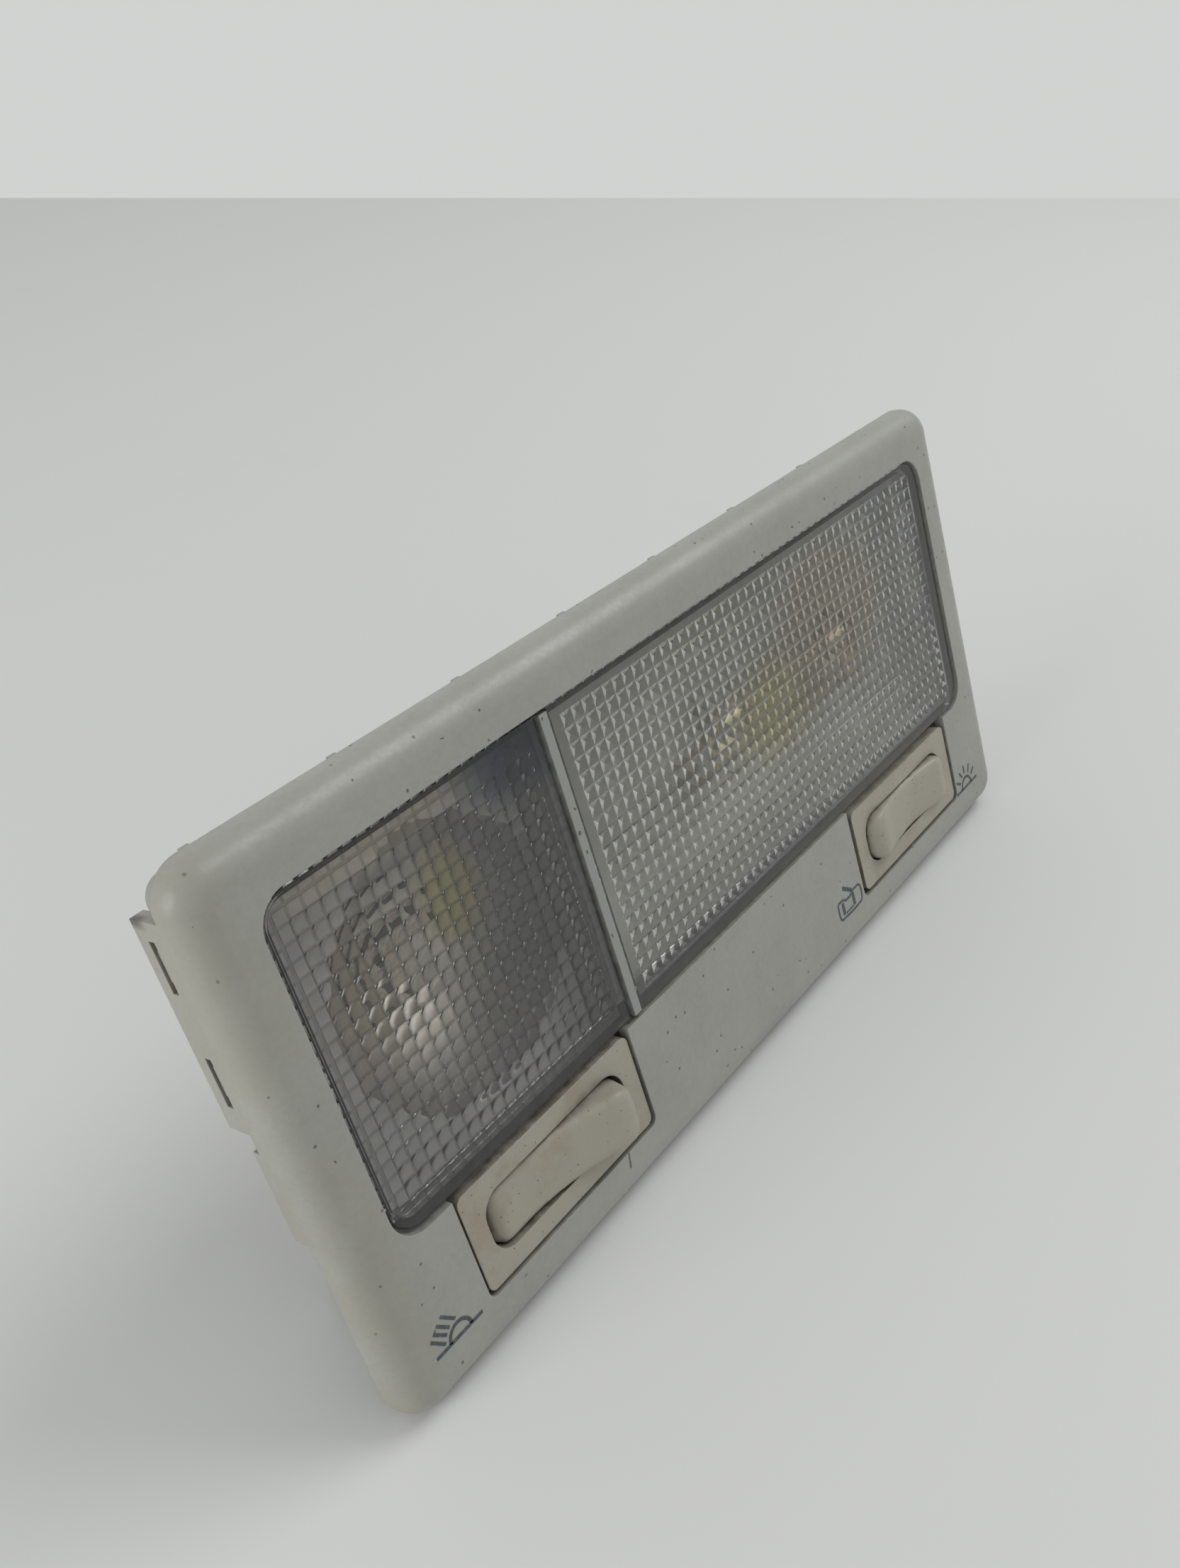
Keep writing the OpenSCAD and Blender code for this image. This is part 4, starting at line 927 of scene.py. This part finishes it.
class DOME_OT_bulbs(bpy.types.Operator):
    """Makes the two bulbs' glass and filaments, and finishes the tube bulb's caps"""

    bl_idname = "dome.bulbs"
    bl_label = "Bulbs"

    CLEAN_GLASS = (0.95, 0.95, 0.94)
    SMOKY_GLASS = (0.80, 0.78, 0.72)
    FROST = (0.93, 0.88, 0.80)
    WIRE = (0.30, 0.29, 0.28)
    STEEL = (0.62, 0.61, 0.58)

    # The tube bulb: its necks as a share of its radius, and the length of its shoulders.
    NECK_SHARE = 0.62
    SHOULDER = 2.4
    SHOULDER_PARTS = 8

    # The capless bulb: its round end, and the width and thickness of its pinched foot.
    DOME_PARTS = 12
    FOOT_SHARE = 0.92
    FOOT_THICKNESS = 3.2
    FOOT_OVERLAP = 0.2

    # Parts of the filaments' coils to a turn, and sides of their wire.
    COIL_PARTS = 10
    WIRE_SIDES = 5

    def execute(self, context):
        shape = context.scene.dome_shape
        wire = metal("filament wire", self.WIRE, roughness=0.4, edge_radius=0)
        self.room_bulb(shape, self.thin_glass("bulb glass", frost=0.0), wire)
        self.reading_bulb(shape, self.thin_glass("frosted bulb glass", frost=0.75), wire)
        dress("main_bulb_caps", metal("plated steel", self.STEEL, roughness=0.3))
        return {"FINISHED"}

    def thin_glass(self, name, frost):
        """Clear glass, whitened by the share of frost."""
        finish, tree, shader = new_finish(name, Transmission_Weight=1.0, IOR=1.5, Metallic=0.0)
        place = place_in_mm(tree)
        smoky = ramp(tree, cloud(tree, place, 0.2, 4.0), 0.35, 0.75)
        colour = tint(tree, smoky, rgba(self.CLEAN_GLASS), rgba(self.SMOKY_GLASS))
        tree.links.new(colour, shader["Base Color"])
        tree.links.new(ramp(tree, smoky, 0.0, 1.0, 0.01, 0.06), shader["Roughness"])
        through = node_in(tree, "ShaderNodeBsdfTransparent").outputs[0]
        shadow = node_in(tree, "ShaderNodeLightPath").outputs["Is Shadow Ray"]
        glass = blend(tree, shadow, tree.nodes["Principled BSDF"].outputs[0], through)
        white = node_in(tree, "ShaderNodeBsdfDiffuse", {"Color": rgba(self.FROST)}).outputs[0]
        share = ramp(tree, cloud(tree, place, 0.9, 4.0), 0.3, 0.7, 0.7 * frost, min(1.0, 1.3 * frost))
        tree.links.new(blend(tree, share, glass, white), tree.nodes["Material Output"].inputs["Surface"])
        return finish

    def quarter_turn(self, parts):
        """Angles from 0 to a right angle."""
        return [math.pi / 2 * k / parts for k in range(parts + 1)]

    def room_bulb(self, shape, glass, wire):
        """A glass tube drawn in at both ends, with a long coil on straight stems."""
        low, high = (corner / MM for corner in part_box("main_bulb_glass"))
        centre = (low + high) / 2
        radius = (high.z - low.z) / 2
        length = high.x - low.x
        wall = shape.glass_wall / MM
        neck = self.NECK_SHARE * radius
        outer = [(0, neck)] + [(self.SHOULDER * (1 - math.cos(a)), neck + (radius - neck) * math.sin(a))
                               for a in self.quarter_turn(self.SHOULDER_PARTS)]
        outer += [(length - reach, r) for reach, r in reversed(outer)]
        inner = [(min(max(reach, wall), length - wall), r - wall) for reach, r in reversed(outer)]
        tube = revolve(outer + inner + [outer[0]], (low.x, centre.y, centre.z), (1, 0, 0))
        smooth(piece_from("room_bulb_glass", tube, "lamp", glass, ["main_bulb_glass"]))
        span = 0.42 * length
        points = self.coil(centre, span, radius=0.55, turns=shape.filament_turns, sag=(0, 0, -0.5))
        stem = [(span / 2 + 1.5, centre.y, centre.z), (length / 2 + 0.4, centre.y, centre.z)]
        self.filament("room_bulb_filament", wire, centre, points, stem, wire_radius=0.09, stem_radius=0.25)

    def reading_bulb(self, shape, glass, wire):
        """A round-ended glass with a pinched foot, and a short coil on bent stems."""
        low, high = (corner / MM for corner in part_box("reading_bulb"))
        centre = (low + high) / 2
        radius = (high.x - low.x) / 2
        wall = shape.glass_wall / MM
        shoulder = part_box("reading_bulb_holder")[0].y / MM - 0.3
        body_l = shoulder - low.y
        outer = [(radius * (1 - math.cos(a)), radius * math.sin(a))
                 for a in self.quarter_turn(self.DOME_PARTS)]
        outer += [(body_l - 1.6, radius), (body_l - 0.6, radius * 0.9), (body_l, radius * 0.62)]
        inner = [(max(reach, wall) if r > wall else wall, max(r - wall, 0.0)) for reach, r in reversed(outer)]
        envelope = revolve(outer + inner, (centre.x, low.y, centre.z), (0, 1, 0))
        foot_length = high.y - shoulder + self.FOOT_OVERLAP
        foot_middle = Vector((centre.x, high.y - foot_length / 2, centre.z))
        foot_size = (2 * self.FOOT_SHARE * radius, foot_length, self.FOOT_THICKNESS, 1)
        bmesh.ops.create_cube(
            envelope, size=1.0, matrix=Matrix.Translation(foot_middle) @ Matrix.Diagonal(foot_size))
        smooth(piece_from("reading_bulb_glass", envelope, "lamp", glass, ["reading_bulb"]))
        reach = 2.0
        middle = Vector((centre.x, low.y + radius + 0.5, centre.z))
        points = self.coil(middle, 2 * reach, radius=0.35, turns=9, sag=(0, -0.8, 0))
        stem = [(reach + 0.3, middle.y + 1, centre.z), (1.6, shoulder, centre.z)]
        self.filament("reading_bulb_filament", wire, centre, points, stem, wire_radius=0.08, stem_radius=0.2)

    def coil(self, middle, span, radius, turns, sag):
        """Points of a coil along X, whose middle sags by a vector."""
        parts = turns * self.COIL_PARTS
        points = []
        for k in range(parts + 1):
            share = k / parts
            a = 2 * math.pi * k / self.COIL_PARTS
            turn = Vector((span * (share - 0.5), radius * math.cos(a), radius * math.sin(a)))
            points.append(middle + turn + Vector(sag) * math.sin(math.pi * share))
        return points

    def filament(self, name, finish, centre, coil, stem, wire_radius, stem_radius):
        """A coil with a stem at each end; stem holds each bend's reach from the centre, its Y and its Z."""
        shape = bmesh.new()
        tube_along(shape, coil, wire_radius, self.WIRE_SIDES)
        for side, end in ((-1, coil[0]), (1, coil[-1])):
            tube_along(shape, [end] + [(centre.x + side * out, y, z) for out, y, z in stem], stem_radius)
        smooth(piece_from(name, shape, "lamp", finish))


class DOME_OT_switches(bpy.types.Operator):
    """Makes the rockers soft-edged and finishes the switch plates"""

    bl_idname = "dome.switches"
    bl_label = "Switches"

    # How much red, green and blue a stain leaves.
    STAIN = (0.80, 0.72, 0.62)

    def execute(self, context):
        colours = context.scene.dome_finish
        stain = tuple(c * left for c, left in zip(colours.switch, self.STAIN))
        worn = plastic("switch plastic", colours.switch, colours.dirt, roughness=0.38, dirt=0.8,
                       specks=0.55, specks_per_mm=1.0, stain=stain, stain_share=0.5)[0]
        for side in ("left", "right"):
            dress(f"{side}_switch_housing", worn)
            self.soften(context, side, worn)
        return {"FINISHED"}

    def soften(self, context, side, finish):
        """Replaces a packed rocker with a copy whose edges are rounded as a moulding's are."""
        shape = context.scene.dome_shape
        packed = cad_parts[f"{side}_rocker"]
        mesh = packed.data.copy()
        mesh.name = f"{side}_rocker_soft"
        piece = bpy.data.objects.new(mesh.name, mesh)
        context.scene.collection.objects.link(piece)
        remesh = piece.modifiers.new("voxels", "REMESH")
        remesh.mode = "VOXEL"
        remesh.voxel_size = shape.rocker_voxel
        remesh.use_smooth_shade = True
        soft = piece.modifiers.new("soft", "SMOOTH")
        soft.factor = 0.5
        soft.iterations = shape.rocker_smoothing
        full = piece.modifiers.new("full", "DISPLACE")
        full.strength = shape.rocker_fullness
        full.mid_level = 0.0
        made = bpy.data.meshes.new_from_object(piece.evaluated_get(context.evaluated_depsgraph_get()))
        piece.modifiers.clear()
        piece.data = made
        made.shade_smooth()
        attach(piece, f"{side}_rocker")
        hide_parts(f"{side}_rocker")
        dress(piece, finish)


class DOME_OT_contacts(bpy.types.Operator):
    """Finishes the brass strips, blades, terminals and bridges and the connector's pins"""

    bl_idname = "dome.contacts"
    bl_label = "Contacts"

    BRASS = (0.52, 0.40, 0.20)
    TARNISH = (0.24, 0.17, 0.09)
    TIN = (0.60, 0.60, 0.58)
    BRASS_NODES = ("main_contact_left", "main_contact_right", "reading_contacts", "left_contact_bridge",
                   "left_terminals", "right_contact_bridge", "right_terminals", "supply_strip",
                   "ground_strip", "door_strip", "reading_strip", "lamp_strip")

    def execute(self, context):
        brass = metal("dull brass", self.BRASS, roughness=0.3, tarnish=self.TARNISH, tarnish_share=0.6)
        for node in self.BRASS_NODES:
            dress(node, brass)
        dress("connector_pins", metal("tinned steel", self.TIN, roughness=0.28))
        return {"FINISHED"}


class DOME_OT_signs(bpy.types.Operator):
    """Prints the reading lamp, open door and room lamp signs on the bezel"""

    bl_idname = "dome.signs"
    bl_label = "Printed signs"

    # The signs' middles, from the window's top left corner.
    READING_LAMP_AT = (2.8, -63.0)
    OPEN_DOOR_AT = (101.1, -61.8)
    ROOM_LAMP_AT = (146.3, -63.5)

    # How deep the ink sinks into the bezel, and the limit on a mitre, as a cosine.
    SUNK = 0.02
    LEAST_COSINE = 0.5

    # The signs' half domes.
    ARC_RADIUS = 1.85
    ARC_PARTS = 20

    def execute(self, context):
        finish = self.ink(context.scene.dome_finish)
        height = context.scene.dome_shape.ink_height / MM
        self.sign("reading_lamp_sign", self.READING_LAMP_AT, self.reading_lamp(), height, finish)
        self.sign("open_door_sign", self.OPEN_DOOR_AT, self.open_door(), height, finish)
        self.sign("room_lamp_sign", self.ROOM_LAMP_AT, self.room_lamp(), height, finish)
        return {"FINISHED"}

    def ink(self, colours):
        """Thin printed ink that lets the bezel show where it has worn."""
        finish, tree, shader = new_finish("printed ink", Roughness=0.5)
        place = place_in_mm(tree)
        thin = ramp(tree, cloud(tree, place, 2.2, 4.0, 0.7), 0.45, 0.8, 0.0, 0.35)
        tree.links.new(tint(tree, thin, rgba(colours.ink), rgba(colours.bezel)), shader["Base Color"])
        relief(tree, shader, cloud(tree, place, 3.0, 2.0), 0.01 * MM)
        return finish

    def sign(self, name, middle, strokes, height, finish):
        """Flat strokes of ink; middle is from the window's top left corner."""
        shape = bmesh.new()
        for points, width, closed in strokes:
            self.stroke(shape, points, width, closed, height)
        bmesh.ops.recalc_face_normals(shape, faces=shape.faces)
        shape.transform(Matrix.Translation((WINDOW_LEFT + middle[0], GREY_FACE, WINDOW_TOP + middle[1])))
        piece_from(name, shape, "lamp", finish)

    def stroke(self, shape, points, width, closed, height):
        """Adds a flat bar along the points, mitred at each bend."""
        count = len(points)
        sections = []
        for k, point in enumerate(points):
            before = points[k - 1] if closed or k else point
            after = points[(k + 1) % count] if closed or k < count - 1 else point
            ahead = (Vector(after) - Vector(before)).normalized()
            stretch = 1
            if point is not before and point is not after:
                leg_in = (Vector(point) - Vector(before)).normalized()
                leg_out = (Vector(after) - Vector(point)).normalized()
                ahead = (leg_in + leg_out).normalized()
                stretch = 1 / max(self.LEAST_COSINE, ahead.dot(leg_in))
            across = Vector((-ahead.y, ahead.x)) * (width / 2 * stretch)
            corners = [Vector(point) + across, Vector(point) - across]
            sections.append([shape.verts.new((c.x, y, c.y)) for c in corners for y in (-height, self.SUNK)])
        pairs = list(zip(sections, sections[1:])) + ([(sections[-1], sections[0])] if closed else [])
        for s, t in pairs:
            shape.faces.new((s[0], s[2], t[2], t[0]))
            shape.faces.new((s[1], t[1], t[3], s[3]))
            shape.faces.new((s[0], t[0], t[1], s[1]))
            shape.faces.new((s[2], s[3], t[3], t[2]))
        if not closed:
            for end in (sections[0], sections[-1]):
                shape.faces.new((end[0], end[1], end[3], end[2]))

    def half_dome(self):
        """Points over half a circle."""
        angles = [math.pi * k / self.ARC_PARTS for k in range(self.ARC_PARTS + 1)]
        return [(self.ARC_RADIUS * math.cos(a), self.ARC_RADIUS * math.sin(a)) for a in angles]

    def reading_lamp(self):
        """A half dome on its line, with four slanted rays to the upper left."""
        rays = [((-4.3, 2.7), (-2.5, 0.7)), ((-3.6, 3.3), (-1.9, 1.6)),
                ((-2.8, 3.9), (-1.2, 2.2)), ((-1.85, 4.5), (0.0, 2.5))]
        strokes = [(list(ray), 0.45, False) for ray in rays]
        strokes.append(([(-4.4, 0), (3.8, 0)], 0.5, False))
        strokes.append((self.half_dome(), 0.5, False))
        return strokes

    def open_door(self):
        """A car from above with one door open."""
        outline = [(-3.3, 1.65), (-2.1, 1.6), (-1.5, 1.3), (-1.05, 1.05), (0.3, 1.05), (0.75, 1.3),
                   (1.35, 1.6), (3.2, 1.6), (3.7, 1.15), (3.85, 0), (3.6, -1.25), (3.15, -1.65),
                   (0, -1.78), (-3.2, -1.6), (-3.65, -1.2), (-3.75, 0), (-3.65, 1.3)]
        return [(outline, 0.4, True),
                ([(-2.25, 1.15), (-2.25, -1.1)], 0.75, False),
                ([(1.2, 1.2), (1.15, -1.1)], 0.75, False),
                ([(-1.7, -1.08), (0.7, -1.05)], 0.3, False),
                ([(-1.35, 3.5), (1.1, 1.75)], 0.7, False)]

    def room_lamp(self):
        """A half dome on its line, with five rays fanning out."""
        rays = [((-3.5, 2.2), (-2.1, 1.4)), ((-2.0, 3.6), (-1.1, 2.3)), ((-0.1, 4.3), (-0.1, 2.7)),
                ((2.0, 3.7), (1.3, 2.3)), ((3.6, 2.3), (2.3, 1.4))]
        strokes = [(list(ray), 0.45, False) for ray in rays]
        strokes.append(([(-4.1, 0), (4.2, 0)], 0.5, False))
        strokes.append((self.half_dome(), 0.5, False))
        return strokes


class DOME_PT_panel(bpy.types.Panel):
    """Shows the dome light's settings and a button for each step"""

    bl_label = "Dome Light"
    bl_idname = "DOME_PT_panel"
    bl_space_type = "VIEW_3D"
    bl_region_type = "UI"
    bl_category = "Dome Light"

    def draw(self, context):
        for settings in (context.scene.dome_finish, context.scene.dome_shape, context.scene.dome_stage):
            for name in settings.__annotations__:
                self.layout.prop(settings, name)
        for operator in OPERATORS:
            self.layout.operator(operator.bl_idname)


OPERATORS = (DOME_OT_stage, DOME_OT_bezel, DOME_OT_base, DOME_OT_lenses, DOME_OT_reflectors,
             DOME_OT_bulbs, DOME_OT_switches, DOME_OT_contacts, DOME_OT_signs)
SETTINGS = {"dome_finish": FinishSettings, "dome_shape": ShapeSettings, "dome_stage": StageSettings}


def register():
    for kind in (*SETTINGS.values(), *OPERATORS, DOME_PT_panel):
        bpy.utils.register_class(kind)
    for name, kind in SETTINGS.items():
        setattr(bpy.types.Scene, name, bpy.props.PointerProperty(type=kind))


def unregister():
    for name in SETTINGS:
        delattr(bpy.types.Scene, name)
    for kind in reversed((*SETTINGS.values(), *OPERATORS, DOME_PT_panel)):
        bpy.utils.unregister_class(kind)


def main():
    register()
    for operator in OPERATORS:
        group, name = operator.bl_idname.split(".")
        getattr(getattr(bpy.ops, group), name)()


if __name__ == "__main__":
    main()
